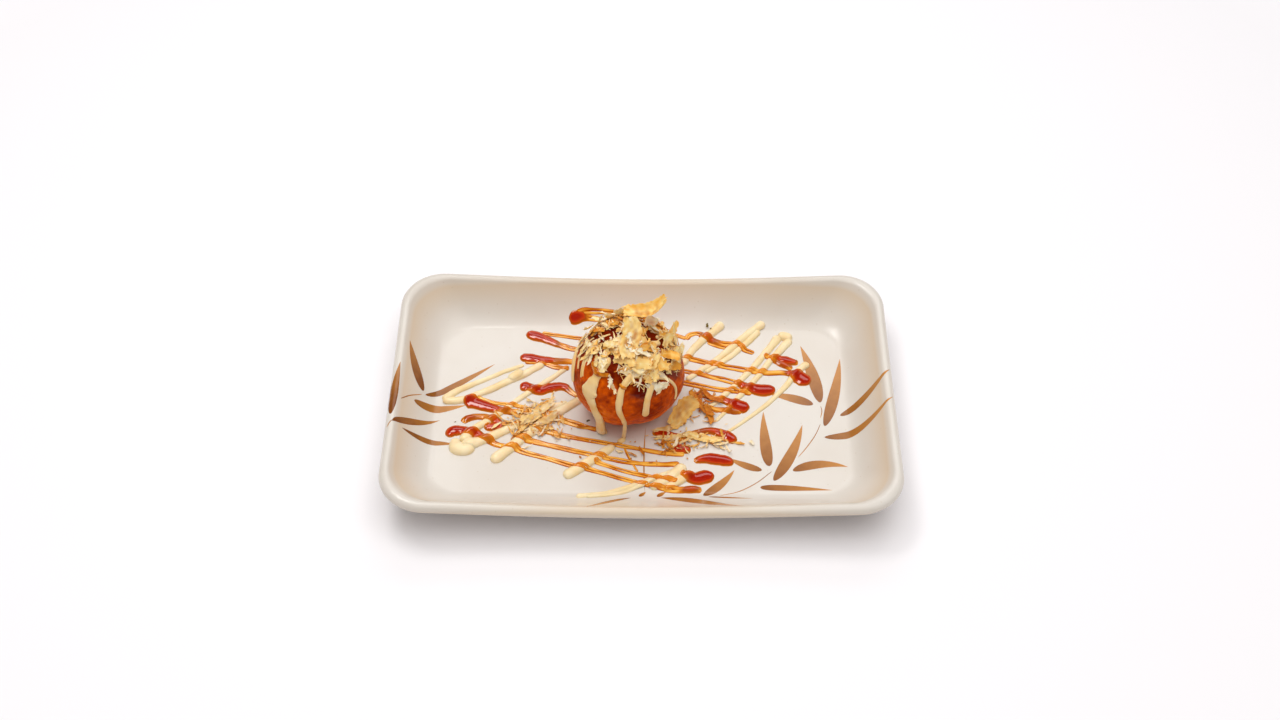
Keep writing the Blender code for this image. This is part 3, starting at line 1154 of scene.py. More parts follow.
@dataclass(frozen=True)
class MayonnaiseFinish:
    """Whipped oil and egg yolk: opaque cream with a soft glow inside and a satin skin."""

    name: str = "mayonnaise"
    light: str = "F2DFB8"
    dark: str = "EBCF9A"
    ripple_size: float = 6.25 * MM
    glow_depth: float = 1.2 * MM

    def make(self) -> Material:
        """Build the material: light goes in about a millimetre, and the skin ripples faintly.

        Returns:
            The material.
        """
        material, tree, shader = start_material(self.name)
        shade = pattern(tree, self.ripple_size, 2.0)
        colour = add_node(
            tree, "ValToRGB", links={"Fac": shade},
            stops=[(0.3, self.dark), (0.7, self.light)],
        )
        bump = add_node(
            tree, "Bump", {"Strength": 0.12, "Distance": 0.6 * MM}, {"Height": shade},
        )
        connect(
            tree, shader,
            {"Roughness": 0.28, "IOR": 1.46, "Subsurface Weight": 0.25,
             "Subsurface Radius": (1.0, 0.75, 0.45), "Subsurface Scale": self.glow_depth,
             "Coat Weight": 0.2, "Coat Roughness": 0.12},
            {"Base Color": colour.outputs["Color"], "Normal": bump.outputs["Normal"]},
        )
        return material


@dataclass
class Mayonnaise:
    """The piped beads on the plate and the drips on the ball.

    A floor bead's points are x, y and width in millimetres. A drip's and a thread's are azimuth
    and angle from the ball's top in degrees, and width in millimetres.
    """

    shape: PlateShape
    ball: BallShape
    relief: Relief
    # solid and its passes
    floor_beads: tuple[tuple[str, tuple[Line, ...]], ...] = (
        ("mayonnaise_back", (
            ((16.5, 22.5, 3.2), (20.2, 29, 3.4), (25, 35.5, 3.7), (29.4, 40.2, 4.0), (33.6, 45, 4.6)),
        )),
        ("mayonnaise_right_double", (
            ((18, 14.4, 2.4), (25.5, 20.6, 2.6), (33.6, 28, 2.8), (42, 37, 3.4), (51.4, 45, 4.2)),
            ((26, 18.4, 2.0), (35.4, 26, 2.4), (43.2, 34, 2.8), (49, 41, 3.0)),
        )),
        ("mayonnaise_right_fork", (
            ((25.8, -1.4, 2.0), (35.2, 8.4, 2.6), (41.6, 16.2, 2.8), (47.8, 24.2, 3.0),
             (52.8, 31.5, 3.2), (57, 38, 4.2)),
            ((30, -7, 1.6), (38.2, 4, 2.2), (45.2, 13.2, 2.6), (51.4, 22.3, 2.8),
             (57, 30.2, 3.2), (62, 36.4, 3.8)),
            ((62.6, 36.8, 4.2), (59.6, 37.8, 4.6), (56.6, 38, 4.2)),
        )),
        ("mayonnaise_right_outer", (
            ((33.2, -13.2, 1.2), (43.4, -4.8, 1.7), (54.1, 5.5, 2.2), (61.2, 15.2, 2.8),
             (65.4, 20.6, 3.2), (68.4, 23.8, 3.8)),
        )),
        ("mayonnaise_left_loop", (
            ((-80.6, 3.4, 3.4), (-74.5, 8.4, 3.0), (-63.6, 14.5, 2.2), (-56.5, 18.4, 2.0),
             # darker and warmer on the crust: partly the crust showing through, partly painted shade
             (-48.6, 21.8, 1.6)),
            ((-80.6, 2.8, 3.6), (-73, 3.2, 3.4), (-65, 7, 3.2), (-56, 12.3, 3.2), (-48.4, 17, 3.4),
             (-40.8, 22.8, 3.0)),
            ((-54.5, 13.6, 3.4), (-51.4, 16.2, 4.4), (-48.6, 18.2, 3.6)),
        )),
        ("mayonnaise_left_fork", (
            ((-30.2, 21.4, 2.4), (-39.5, 13, 2.4), (-47.4, 6.3, 2.6), (-54.8, -0.9, 2.8),
             (-61.2, -7, 3.0), (-67, -11.6, 3.6), (-71.4, -18, 5.0)),
            ((-74.4, -16.4, 3.2), (-73.2, -20.6, 6.0), (-69.8, -22, 5.2), (-66.6, -19.6, 5.6)),
            ((-71, -19.6, 5.6), (-64.5, -17.8, 4.4), (-57, -13.6, 3.8), (-47.2, -7.6, 3.6),
             (-38.5, -2, 3.4), (-30, 2.4, 2.8)),
            ((-58.8, -27.6, 5.0), (-52, -20.6, 4.8), (-45.6, -14.2, 4.4), (-38.8, -7, 4.4),
             (-32, -1.6, 4.0), (-25, 4, 3.6), (-19.5, 8, 3.0)),
        )),
        ("mayonnaise_front_left", (
            ((-30.4, -34.6, 4.6), (-25, -30.8, 4.6), (-18, -25.4, 4.2), (-11, -19.4, 3.6)),
        )),
        ("mayonnaise_front", (
            ((-25, -44.6, 2.4), (-14, -42.8, 2.4), (-4, -39.2, 2.6), (4, -35.6, 2.8), (13, -32, 3.0)),
            ((-21, -44.8, 1.6), (-9, -42.6, 1.8), (0, -38.4, 2.2), (7, -33.6, 2.4)),
            ((3.6, -40, 3.4), (9.4, -36.2, 4.4), (14.4, -31.6, 4.6), (17, -28.6, 4.0)),
            ((9.4, -40.4, 3.0), (14.8, -36.2, 4.0), (20, -32, 4.2)),
        )),
    )
    # solid, its turns down the ball, and the puddle where it lands
    drips: tuple[tuple[str, Line, Line], ...] = (
        ("mayonnaise_drip_left", (
            (-128, 29, 3.6), (-131, 39, 4.4), (-131.5, 46, 4.0), (-131, 53, 3.4), (-132, 61, 5.0),
            (-133, 69, 6.8), (-132, 77, 7.0), (-129, 84, 5.0), (-126, 92, 3.8), (-122, 106, 4.2),
        ), ((-16, -12.8, 4.4), (-15.3, -12.2, 5.2), (-14.2, -11.4, 4.8))),
        ("mayonnaise_drip_middle", (
            (-85, 41, 2.4), (-92, 49, 2.8), (-97, 58, 2.6), (-98.5, 69, 2.8), (-98.5, 81, 2.6),
            (-95, 97, 1.9), (-93, 110, 1.7),
        ), ((-6.9, -15.2, 1.6), (-7.4, -16.4, 2.4), (-9.6, -17.8, 2.2))),
        ("mayonnaise_drip_right", (
            (-60, 56, 3.0), (-64, 62, 2.8), (-69, 70, 2.6), (-71, 80, 2.7), (-72, 94, 3.1),
        ), ()),
    )
    threads: tuple[Line, ...] = (
        ((147, 29, 1.0), (151, 46, 1.3), (164, 57, 1.7), (178, 65, 2.1), (190, 75, 2.1),
         (198, 86, 1.6)),
        ((166, 25, 0.9), (180, 36, 1.1), (192, 47, 1.2), (202, 57, 1.1), (209, 67, 0.8)),
        ((166, 38, 0.8), (175, 49, 1.0), (186, 57, 1.1), (198, 65, 0.8)),
        ((162, 19, 0.8), (174, 30, 1.0), (191, 41, 1.0), (203, 50, 0.8)),
        ((197, 46, 0.7), (204, 55, 0.9), (211, 64, 0.7)),
        ((-54, 50, 1.2), (-40, 60, 1.4), (-34, 72, 1.3), (-33.5, 84, 1.2), (-36, 92, 0.9)),
        ((-20, 44, 1.2), (-8, 54, 1.4), (0, 66, 1.3)),
        ((10, 30, 2.0), (24, 44, 2.2), (30, 60, 2.2), (34, 76, 2.0), (38, 90, 1.8)),
        ((70, 24, 2.2), (78, 40, 2.4), (80, 58, 2.6), (78, 76, 2.4), (80, 94, 2.0)),
        ((120, 26, 2.0), (118, 44, 2.4), (122, 62, 2.6), (120, 80, 2.0)),
        ((-60, 20, 2.2), (-20, 22, 2.4), (0, 34, 2.4)),
    )
    flatness: float = 0.44
    noise: Noise = field(default_factory=lambda: Noise(11))

    def wobble(self, centre: Array, width: Array) -> tuple[Array, Array]:
        """Make a line uneven, as a hand pipes it: by 0.25 mm, and its width by a twelfth.

        Args:
            centre: (n, 3) centre line.
            width: Width at each of its points.

        Returns:
            The line and its widths.
        """
        waver = np.stack([self.noise.at(centre + k, 7 * MM, 2) for k in (0.0, 0.5)], axis=1)
        moved = centre.copy()
        moved[:, :2] += 0.25 * MM * waver
        return moved, width * (1 + 0.08 * self.noise.at(centre, 3 * MM, 2))

    def floor_bead(self, points: Line) -> Shell:
        """Make one pass of the nozzle over the plate, laid on whatever is below it.

        Args:
            points: Its turns.

        Returns:
            One closed surface.
        """
        line, half_width = bead_line(points)
        centre = np.column_stack([line, np.zeros(len(line))])
        centre, half_width = self.wobble(centre, half_width)
        x, y = centre[:, 0], centre[:, 1]
        below = self.relief.sample(self.relief.added, x, y)
        height = 2 * half_width * self.flatness
        centre[:, 2] = self.shape.height(x, y) + 0.35 * below
        self.relief.lay(centre[:, :2], half_width, height + 0.35 * below)
        normal = np.tile([0.0, 0.0, 1.0], (len(centre), 1))
        return sweep_bead(centre, normal, half_width, height)

    def drip(self, points: Line, pool: Line) -> Shell:
        """Make a drip down the skin. Past the ball's middle it hangs straight down to the plate.

        Args:
            points: Its turns.
            pool: The points of its puddle, if it has one.

        Returns:
            The drip and the puddle where it lands.
        """
        turns = ball_line(self.ball, points)
        if pool:
            foot = np.array([*pool[0][:2], self.shape.floor / MM + 0.2, turns[-1, 3]])
            share = np.linspace(0, 1, 10)[1:, None]
            turns = np.concatenate([turns, turns[-1] + share * (foot - turns[-1])])
        line, half_width = bead_line(turns, 0.35 * MM)
        line, half_width = self.wobble(line, half_width)
        half_width = half_width * (1 + 0.14 * self.noise.at(line + 0.3, 2.2 * MM, 2))
        away = (line - np.array(self.ball.centre)) / np.array(
            [self.ball.radius, self.ball.radius, self.ball.half_height]) ** 2
        away[:, 2] = np.maximum(away[:, 2], 0)
        outward = unit(away)
        free = np.clip((self.ball.centre[2] - line[:, 2]) / (6 * MM), 0, 1)
        height = np.minimum(half_width, 0.7 * MM + 0.25 * half_width) * (0.9 + 0.3 * free)
        sunk = 0.15 * MM + 0.7 * half_width * free
        passes = [sweep_bead(line, outward, half_width, height, sunk)]
        if pool:
            passes.append(self.floor_bead(pool))
        shell = merge(passes)
        shell.points[:, 2] = np.maximum(shell.points[:, 2], self.shape.floor + 0.05 * MM)
        return shell

    def thread(self, points: Line) -> Shell:
        """Make a thin line of mayonnaise over the skin and what lies on it.

        Args:
            points: Its turns.

        Returns:
            One closed surface.
        """
        line, half_width = bead_line(ball_line(self.ball, points), 0.35 * MM)
        line, half_width = self.wobble(line, half_width)
        outward = unit(line - np.array(self.ball.centre))
        return sweep_bead(line, outward, half_width, half_width * 0.9, 0.3 * MM, 10)

    def make(self, finish: Material, thin_shaded_finish: Material) -> None:
        """Build every bead and drip, each in place of its solid, and the threads.

        Args:
            finish: The mayonnaise on the plate.
            thin_shaded_finish: The mayonnaise on the crust: darker and warmer, partly as the crust
                shows through it, partly painted shade.
        """
        for name, passes in self.floor_beads:
            shell = merge([self.floor_bead(points) for points in passes])
            make_piece(name + "_bead", shell, finish, [name])
        for name, points, pool in self.drips:
            make_piece(name + "_run", self.drip(points, pool), thin_shaded_finish, [name])
        threads = merge([self.thread(points) for points in self.threads])
        make_piece("mayonnaise_threads", threads, thin_shaded_finish)
        self.relief.settle()


# ---------------- brown sauce

@dataclass(frozen=True)
class BrownSauce:
    """Thick clear sauce of soy, sugar and fruit: amber where thin, deep red where it pools.

    It is wet, so it has a sharp gloss, and over mayonnaise it looks orange. Thin strands are painted
    darker along their edges, as shade where refraction darkens them.
    """

    thin: str = "F2B44C"
    middle: str = "D47E14"
    # painted shade: the dark edges of the thin strands
    edge: str = "9E4606"
    pooled: str = "C43E06"
    deep: str = "A21A00"
    over_cream: str = "DA7C16"

    def make(self) -> Material:
        """Build the material: colour by how much the film takes up, and by what lies under it.

        Returns:
            The material.
        """
        material, tree, shader = start_material("brown_sauce")
        depth = add_node(tree, "Attribute", attribute_name="tone")
        colour = add_node(
            tree, "ValToRGB", links={"Fac": depth.outputs["Fac"]},
            stops=[(0.0, self.thin), (0.25, self.middle), (0.52, self.edge), (0.75, self.pooled),
                   (1.0, self.deep)],
        )
        connect(
            tree, shader,
            {"Roughness": 0.1, "IOR": 1.45, "Coat Weight": 0.6, "Coat Roughness": 0.03},
            {"Base Color": overlaid(tree, colour.outputs["Color"], self.over_cream, "cream")},
        )
        return material


@dataclass
class Sauce:
    """The zigzag of sauce over plate and mayonnaise: strands with a pool at each turn.

    A strand's points are x, y and width in millimetres.
    """

    shape: PlateShape
    ball: BallShape
    relief: Relief
    strands: tuple[Line, ...] = (
        # left of the ball, from the back
        ((-31, 46.4, 3.6), (-28.2, 46.4, 5.4), (-25.4, 46.8, 4.0), (-22, 46.4, 1.8), (-14, 45.4, 1.6),
         (0, 43, 1.8), (12, 39.4, 1.8), (18.4, 36.8, 1.8)),
        ((-27.6, 47.4, 3.4), (-24.6, 48.6, 2.4), (-20.6, 48.8, 1.8), (-12, 48.4, 1.6), (0, 45.6, 1.6),
         (10, 41.6, 1.4)),
        ((-48.6, 39.4, 4.0), (-45, 38, 5.4), (-40, 35.8, 4.4), (-34, 32.8, 3.0), (-27, 30.4, 2.4),
         (-14, 29, 2.0), (2, 28.4, 2.2), (16, 26.8, 1.8)),
        ((-42, 39.6, 2.0), (-36, 38.4, 1.8), (-28, 37, 1.8), (-20, 36, 1.6), (-6, 34, 1.6),
         (8, 32.4, 1.4)),
        ((-50.6, 26.2, 4.0), (-46.6, 25.8, 5.0), (-40, 24.6, 3.8), (-33.6, 24.2, 3.4),
         (-26, 23.6, 2.4)),
        ((-48.2, 23.6, 2.2), (-42, 23.4, 1.8), (-36, 21.2, 2.4), (-30, 20, 1.6)),
        ((-49.8, 11.4, 4.4), (-46, 10, 5.0), (-41.6, 8.4, 4.8), (-37, 10.2, 4.6), (-32, 10.6, 3.8),
         (-28.4, 7.4, 2.4), (-24.6, 4.6, 2.0)),
        ((-72.2, 2.8, 5.0), (-69.4, 2.6, 6.6), (-64, 0.6, 5.6), (-58.6, -1.2, 4.0), (-52, -2.4, 3.2),
         (-43.5, -1.6, 2.4)),
        ((-67, 4.6, 2.2), (-60, 2.2, 1.6), (-52, 1, 1.8), (-46, -0.4, 1.6)),
        ((-71.4, -8.4, 2.4), (-70.2, -6.2, 3.4), (-65.4, -5, 3.2), (-59.4, -6.4, 3.4),
         (-57.6, -9.6, 4.4), (-63, -10.8, 3.2)),
        ((-58, -8.8, 3.0), (-49, -8.4, 2.0), (-40, -7, 2.2), (-33, -6.2, 2.4), (-20.5, -10.8, 2.0)),
        ((-76.8, -15.6, 3.6), (-75.6, -12.8, 5.2), (-72, -12.2, 4.6), (-66, -13.8, 4.2),
         (-61.6, -16.4, 3.8), (-57, -19.2, 3.0), (-50, -20.4, 2.6)),
        # in front of the ball
        ((-51, -20, 3.0), (-46, -22.8, 2.4), (-38, -25.4, 2.2), (-29, -28.6, 2.4), (-22, -30.4, 2.2),
         (-9, -34.8, 2.0), (3, -38.6, 2.0), (11, -40.6, 2.2)),
        ((-51, -14.6, 2.6), (-45, -16.8, 3.0), (-34.3, -20, 2.2), (-21, -23.4, 2.2),
         (-5, -27.4, 2.2), (6, -28.4, 2.2), (15, -28.2, 2.6)),
        ((-43, -10.2, 2.4), (-36, -12.8, 3.0), (-27, -15.4, 2.2), (-14, -18.2, 2.0),
         (-3, -20.4, 2.0), (8, -22.8, 2.4), (17, -23.4, 2.8)),
        ((-41, -3, 2.4), (-36, -4.8, 3.0), (-28, -8.2, 2.4), (-17.4, -11.6, 2.2)),
        ((-18.5, -27, 2.2), (-8, -31.2, 1.8), (4, -34.6, 2.0), (14, -37, 2.2)),
        ((-7.2, -18.8, 0.8), (-6, -22.4, 1.0), (-4.2, -26.6, 0.9), (-1.4, -32, 0.7)),
        # right of the ball, from the back
        ((18.4, 36.2, 2.2), (19.8, 38.8, 2.2), (23.2, 39.8, 2.0), (26.8, 37.4, 3.8), (29.6, 35.6, 3.6),
         (34, 34, 2.6), (39.6, 34, 2.0), (42.6, 31, 2.4), (46.4, 28.8, 1.8)),
        ((27.4, 34.8, 2.0), (31.6, 33, 2.2), (35.2, 31.8, 1.8)),
        ((50.4, 27.4, 2.0), (54.6, 26.4, 3.0), (59.6, 25, 4.4), (64.6, 23.8, 3.4)),
        ((53.4, 25.8, 2.2), (57.6, 23.4, 3.8), (61.8, 20.6, 2.8)),
        ((16, 26.8, 1.8), (22, 25.2, 2.6), (30, 22.8, 2.4), (41, 20.2, 2.6), (51, 18.4, 2.8),
         (59, 18.4, 3.0), (62.6, 17.4, 5.6), (66, 15, 7.0), (68.4, 12.4, 5.0)),
        ((16, 19.4, 1.8), (22.6, 18, 2.2), (30, 15.8, 2.2), (37.6, 13.4, 2.6), (43, 10.8, 4.4),
         (48.4, 9.2, 6.4), (54.4, 9.8, 6.0)),
        ((14, 13.8, 2.0), (22, 11.8, 2.6), (30.4, 9.6, 2.4), (38.4, 8.8, 2.6), (44.6, 7.4, 2.2)),
        ((20, 7.6, 2.2), (28, 5.4, 2.2), (34.6, 3.2, 3.6), (39, 1, 6.2), (43.4, -0.4, 5.4)),
        ((22, 1.4, 2.0), (29, -0.6, 2.2), (36.6, -1.6, 3.4), (40.4, -2, 3.0)),
        ((10, -17.6, 2.2), (18, -14.4, 3.4), (26, -11.8, 3.4), (31.6, -13, 4.4), (35.2, -15.4, 5.2),
         (37.4, -17.4, 3.6)),
        ((4.2, -12.6, 2.6), (8.8, -13.6, 4.6), (13.6, -14.6, 3.2), (18, -14.4, 2.6)),
        ((10.6, -20.2, 3.0), (15.4, -20.8, 5.2), (19.6, -21.6, 3.4)),
        ((20.6, -26.8, 2.6), (25.6, -25.4, 5.0), (31.4, -26.2, 5.4), (36.2, -27.6, 4.4)),
        ((15.4, -33, 3.0), (20.6, -35.2, 5.4), (24.8, -34.4, 7.0), (28.4, -33.4, 5.6)),
        ((8.6, -40.6, 2.0), (15, -40.6, 3.0), (20.4, -40.4, 3.8), (23.6, -41, 2.4)),
    )

    # azimuth, angle from the top, width and height over the skin
    on_ball: tuple[tuple[tuple[float, float, float, float], ...], ...] = (
        ((-151, 44, 1.0, 0), (-144, 46, 1.8, 0.2), (-137, 47, 2.2, 0.9), (-131, 48, 2.3, 1.3),
         (-125, 47, 2.0, 0.9), (-119, 46, 1.6, 0.2), (-113, 45, 1.0, 0)),
        ((-100, 51, 1.0, 0.3), (-96, 54, 1.5, 1.0), (-91, 56, 1.0, 0.3)),
    )

    noise: Noise = field(default_factory=lambda: Noise(23))

    def band(self, points: Line) -> Shell:
        """Lay a line of sauce over the ball and the drips on it.

        Args:
            points: Its turns.

        Returns:
            One closed surface.
        """
        line, half_width = bead_line(ball_line(self.ball, points), 0.3 * MM)
        half_width = half_width * (1 + 0.25 * self.noise.at(line, 1.6 * MM, 2))
        outward = unit(line - np.array(self.ball.centre))
        shell = sweep_bead(line, outward, half_width, 0.5 * half_width, 0.5 * MM, 12)
        tone = 0.34 + 0.2 * self.noise.at(shell.points, 1.2 * MM, 2)
        shell.values = {"tone": np.clip(tone, 0, 1), "cream": np.zeros(len(tone))}
        return shell

    def strand(self, points: Line, lean: int) -> Shell:
        """A film over plate and mayonnaise: one of the two lines that a strand parts into.

        Where the strand is thin, the lines run side by side, and they meet where it is wide. The
        film is a flat-topped dome across its line. Its underside lies just in what carries it, and
        both meet at the edge.

        Args:
            points: (x, y, width) of the strand's turns, in millimetres.
            lean: Which side of the strand this line keeps to, -1 or 1.

        Returns:
            One closed surface.
        """
        line, half_width = bead_line(points, 0.5 * MM)
        flat = np.column_stack([line, np.full(len(line), 0.01 * lean)])
        parted = np.clip((1.7 * MM - half_width) / (0.4 * MM), 0, 1)
        parted = parted * np.clip(0.75 + 0.6 * self.noise.at(flat * [1, 1, 0], 9 * MM), 0, 1)
        waver = np.stack([self.noise.at(flat + k, 6 * MM) for k in (0.0, 0.5)], axis=1)
        line = line + 0.2 * MM * waver
        side = unit(np.gradient(line, axis=0))[:, ::-1] * [-1, 1]
        line = line + (lean * parted * 0.62 * half_width)[:, None] * side
        half_width = half_width * (1 - 0.42 * parted) * (1 + 0.14 * self.noise.at(flat, 3.5 * MM, 2))
        over = np.sin(np.linspace(-math.pi / 2, math.pi / 2, 13))
        across = np.concatenate([over, over[-2:0:-2]])
        plan = line[:, None] + across[None, :, None] * (half_width[:, None] * side)[:, None]
        on_plate = self.shape.height(plan[..., 0], plan[..., 1])
        cream = self.relief.sample(self.relief.soft, plan[..., 0], plan[..., 1])
        crown = np.minimum(0.14 * MM + 0.3 * half_width, 1.0 * MM)
        crown = crown * np.minimum(1, half_width / (0.5 * MM))
        dome = np.maximum(0, 1 - across**2) ** 0.7
        depth = crown[:, None] * dome[None]
        is_top = np.arange(len(across)) < len(over)
        lift = np.where(is_top[None], depth, -0.1 * MM)
        lift = np.where(np.abs(across)[None] > 0.999, 0.0, lift)
        height = on_plate + cream + lift
        near = np.lib.stride_tricks.sliding_window_view(np.pad(half_width, 4, mode="edge"), 9)
        pooled = np.clip((near.max(axis=1)[:, None] - 1.25 * MM) / (0.9 * MM), 0, 1)
        # painted shade: thin strands darken towards their edges, standing in for refraction, around a
        # light amber middle
        edge_shaded_ribbon = 0.08 + 0.5 * np.abs(across)[None] ** 1.7
        edge_shaded_ribbon = edge_shaded_ribbon + 0.26 * self.noise.at(flat, 5 * MM, 2)[:, None]
        tone = (1 - pooled) * edge_shaded_ribbon + pooled * (0.25 + 0.85 * (depth / (0.9 * MM)) ** 1.5)
        values = {
            "tone": np.clip(tone, 0, 1).ravel(),
            "cream": (np.clip(cream / (0.7 * MM), 0, 1)
                      * np.clip(1.15 - depth / (0.8 * MM), 0, 1)).ravel(),
        }
        return tube(np.concatenate([plan, height[..., None]], axis=2), True, values)

    def make(self, finish: Material) -> Piece:
        """Build every strand as one piece.

        Args:
            finish: The sauce.

        Returns:
            The piece.
        """
        shells = [self.strand(points, lean) for points in self.strands for lean in (-1, 1)]
        shells += [self.band(points) for points in self.on_ball]
        return make_piece("sauce_drizzle", merge(shells), finish)


# ---------------- bonito shavings

@dataclass(frozen=True)
class BonitoFinish:
    """Dried smoked bonito, shaved to a tenth of a millimetre: papery, with a fine grain.

    Light glows through a shaving. It is pale where thin, amber where thick or folded, and brown
    where it has soaked up sauce.
    """

    stops: tuple[tuple[float, str], ...] = (
        (0.0, "FFF1D0"), (0.3, "FBD68C"), (0.65, "EFA43C"), (1.0, "C46814"),
    )
    stain: str = "AC4C0C"
    name: str = "dried_bonito_shavings"
    glow_depth: float = 1.2 * MM

    def make(self) -> Material:
        """Build the material: each shaving's own tone and grain, and stains by attribute.

        Returns:
            The material.
        """
        material, tree, shader = start_material(self.name)
        grain = add_node(tree, "Attribute", attribute_name="grain")
        streaks = add_node(
            tree, "TexNoise", {"Scale": 1.0, "Detail": 3.0},
            {"Vector": grain.outputs["Vector"]},
        )
        colour = toned(tree, "tone", streaks.outputs["Fac"], 0.7, self.stops)
        connect(
            tree, shader,
            {"Roughness": 0.42, "IOR": 1.45, "Specular IOR Level": 0.3, "Subsurface Weight": 0.3,
             "Subsurface Radius": (1.0, 0.7, 0.4), "Subsurface Scale": self.glow_depth},
            {"Base Color": overlaid(tree, colour, self.stain, "stain")},
        )
        return material


Carrier = Callable[[Array, Array, Array], Array]


@dataclass(frozen=True)
class Sheet:
    """Size and curl of one shaving: lengths in millimetres, angles in degrees.

    Tilt and bend are its slope along its length, at the middle and in all. Roll and cup are the
    same across it. Rise is how far its lowest point stays clear of what carries it. Torn is how
    ragged its edge is, and soak how much sauce is in it. Grain is the distance between its fibres.
    """

    length: float
    width: float
    tilt: float = 0.0
    bend: float = 40.0
    roll: float = 0.0
    cup: float = 30.0
    rise: float = 0.3
    taper: float = 0.6
    tone: float = 0.4
    rows: int = 14
    columns: int = 8
    torn: float = 1.0
    soak: float = 0.0
    thickness: ClassVar[float] = 0.12
    grain: ClassVar[float] = 0.2273

    @staticmethod
    def arc(share: Array, size: float, slope: float, turn: float) -> tuple[Array, Array]:
        """Bend a strip evenly: running sums of the cosine and sine of its slope.

        Args:
            share: Places along it, from -1 to 1.
            size: Its length.
            slope: Slope at its middle, in degrees.
            turn: How much the slope changes from end to end.

        Returns:
            How far forward of its middle, and how high over its lowest point, each place is.
        """
        angle = np.radians(slope + turn * share / 2)
        step = np.diff(share, prepend=share[0]) * size / 2
        forward, up = np.cumsum(np.cos(angle) * step), np.cumsum(np.sin(angle) * step)
        middle = np.interp(0, share, forward)
        return forward - middle, up - up.min()

    def shell(self, carrier: Carrier, noise: Noise, key: float) -> Shell:
        """Make the shaving as a closed slab with a torn outline and soft crumples.

        Args:
            carrier: Turns forward, sideways and upward distances into points.
            noise: Source of the tears and crumples.
            key: A number that makes this shaving unlike the others.

        Returns:
            The closed surface, with its tone, grain and stain.
        """
        u, v = np.linspace(-1, 1, self.rows), np.linspace(-1, 1, self.columns)
        forward, up = self.arc(u, self.length * MM, self.tilt, self.bend)
        sideways, lean = self.arc(v, self.width * MM, self.roll, self.cup)
        row, column = np.broadcast_arrays(u[:, None], v[None])
        own = np.full_like(row, 7.1 * key)
        flat = np.stack([row * self.length, column * self.width, own], axis=-1)
        side_tear = noise.at(flat, 1.1, 2)
        end_tear = noise.at(flat + 31, 1.3, 2)
        outline = 1 - self.taper * np.abs(row) ** 2.4
        outline = outline * (1 + 0.36 * self.torn * np.abs(column) ** 3 * side_tear)
        a = forward[:, None] * (1 + 0.28 * self.torn * np.abs(row) ** 3 * end_tear)
        b = sideways[None] * outline + 0.16 * self.width * MM * np.sin(2.3 * row + 5 * key)
        crumple = 0.22 * MM * noise.at(flat + 63, 2.4, 2) * min(1.0, self.width / 3, self.torn)
        lift = self.rise * MM + up[:, None] + lean[None] * outline + np.abs(crumple)
        points = carrier(a, b, lift)
        stain = np.clip(0.75 - lift / (1.6 * MM), 0, 1) * np.clip(0.4 + noise.at(flat, 3.0), 0, 1)
        stain = np.clip(stain + self.soak * (0.8 + 0.5 * noise.at(flat + 3, 1.6)), 0, 1)
        tone = self.tone + 0.18 * noise.at(flat + 9, 2.0) + 0.12 * np.abs(column)
        grain = flat[..., 1] / (2 * self.grain)
        return slab(points, self.thickness * MM, {"tone": tone, "grain": grain, "stain": stain})


def slab(points: Array, thickness: float, values: dict[str, Array]) -> Shell:
    """Give a grid of points a thickness: two skins half of it to each side, joined at the rim.

    The rim is a third as thick as the middle.

    Args:
        points: (rows, columns, 3) grid.
        thickness: Distance between the skins.
        values: A (rows, columns) array for each value's name.

    Returns:
        One closed surface.
    """
    rows, columns = points.shape[:2]
    normal = np.cross(np.gradient(points, axis=0), np.gradient(points, axis=1))
    normal /= np.linalg.norm(normal, axis=-1, keepdims=True) + 1e-15
    half = np.full((rows, columns, 1), thickness / 2)
    half[[0, -1]] /= 3
    half[:, [0, -1]] /= 3
    count = rows * columns
    number = np.arange(count).reshape(rows, columns)
    rim = np.concatenate([number[0, :-1], number[:-1, -1], number[-1, :0:-1], number[:0:-1, 0]])
    following = np.roll(rim, -1)
    top = grid_quads(rows, columns)[:, ::-1]
    sides = np.stack([rim, following, following + count, rim + count], axis=1)
    return Shell(
        np.concatenate([points + half * normal, points - half * normal]).reshape(-1, 3),
        np.concatenate([top, top[:, ::-1] + count, sides]),
        values={name: np.tile(value.ravel(), 2) for name, value in values.items()},
    )


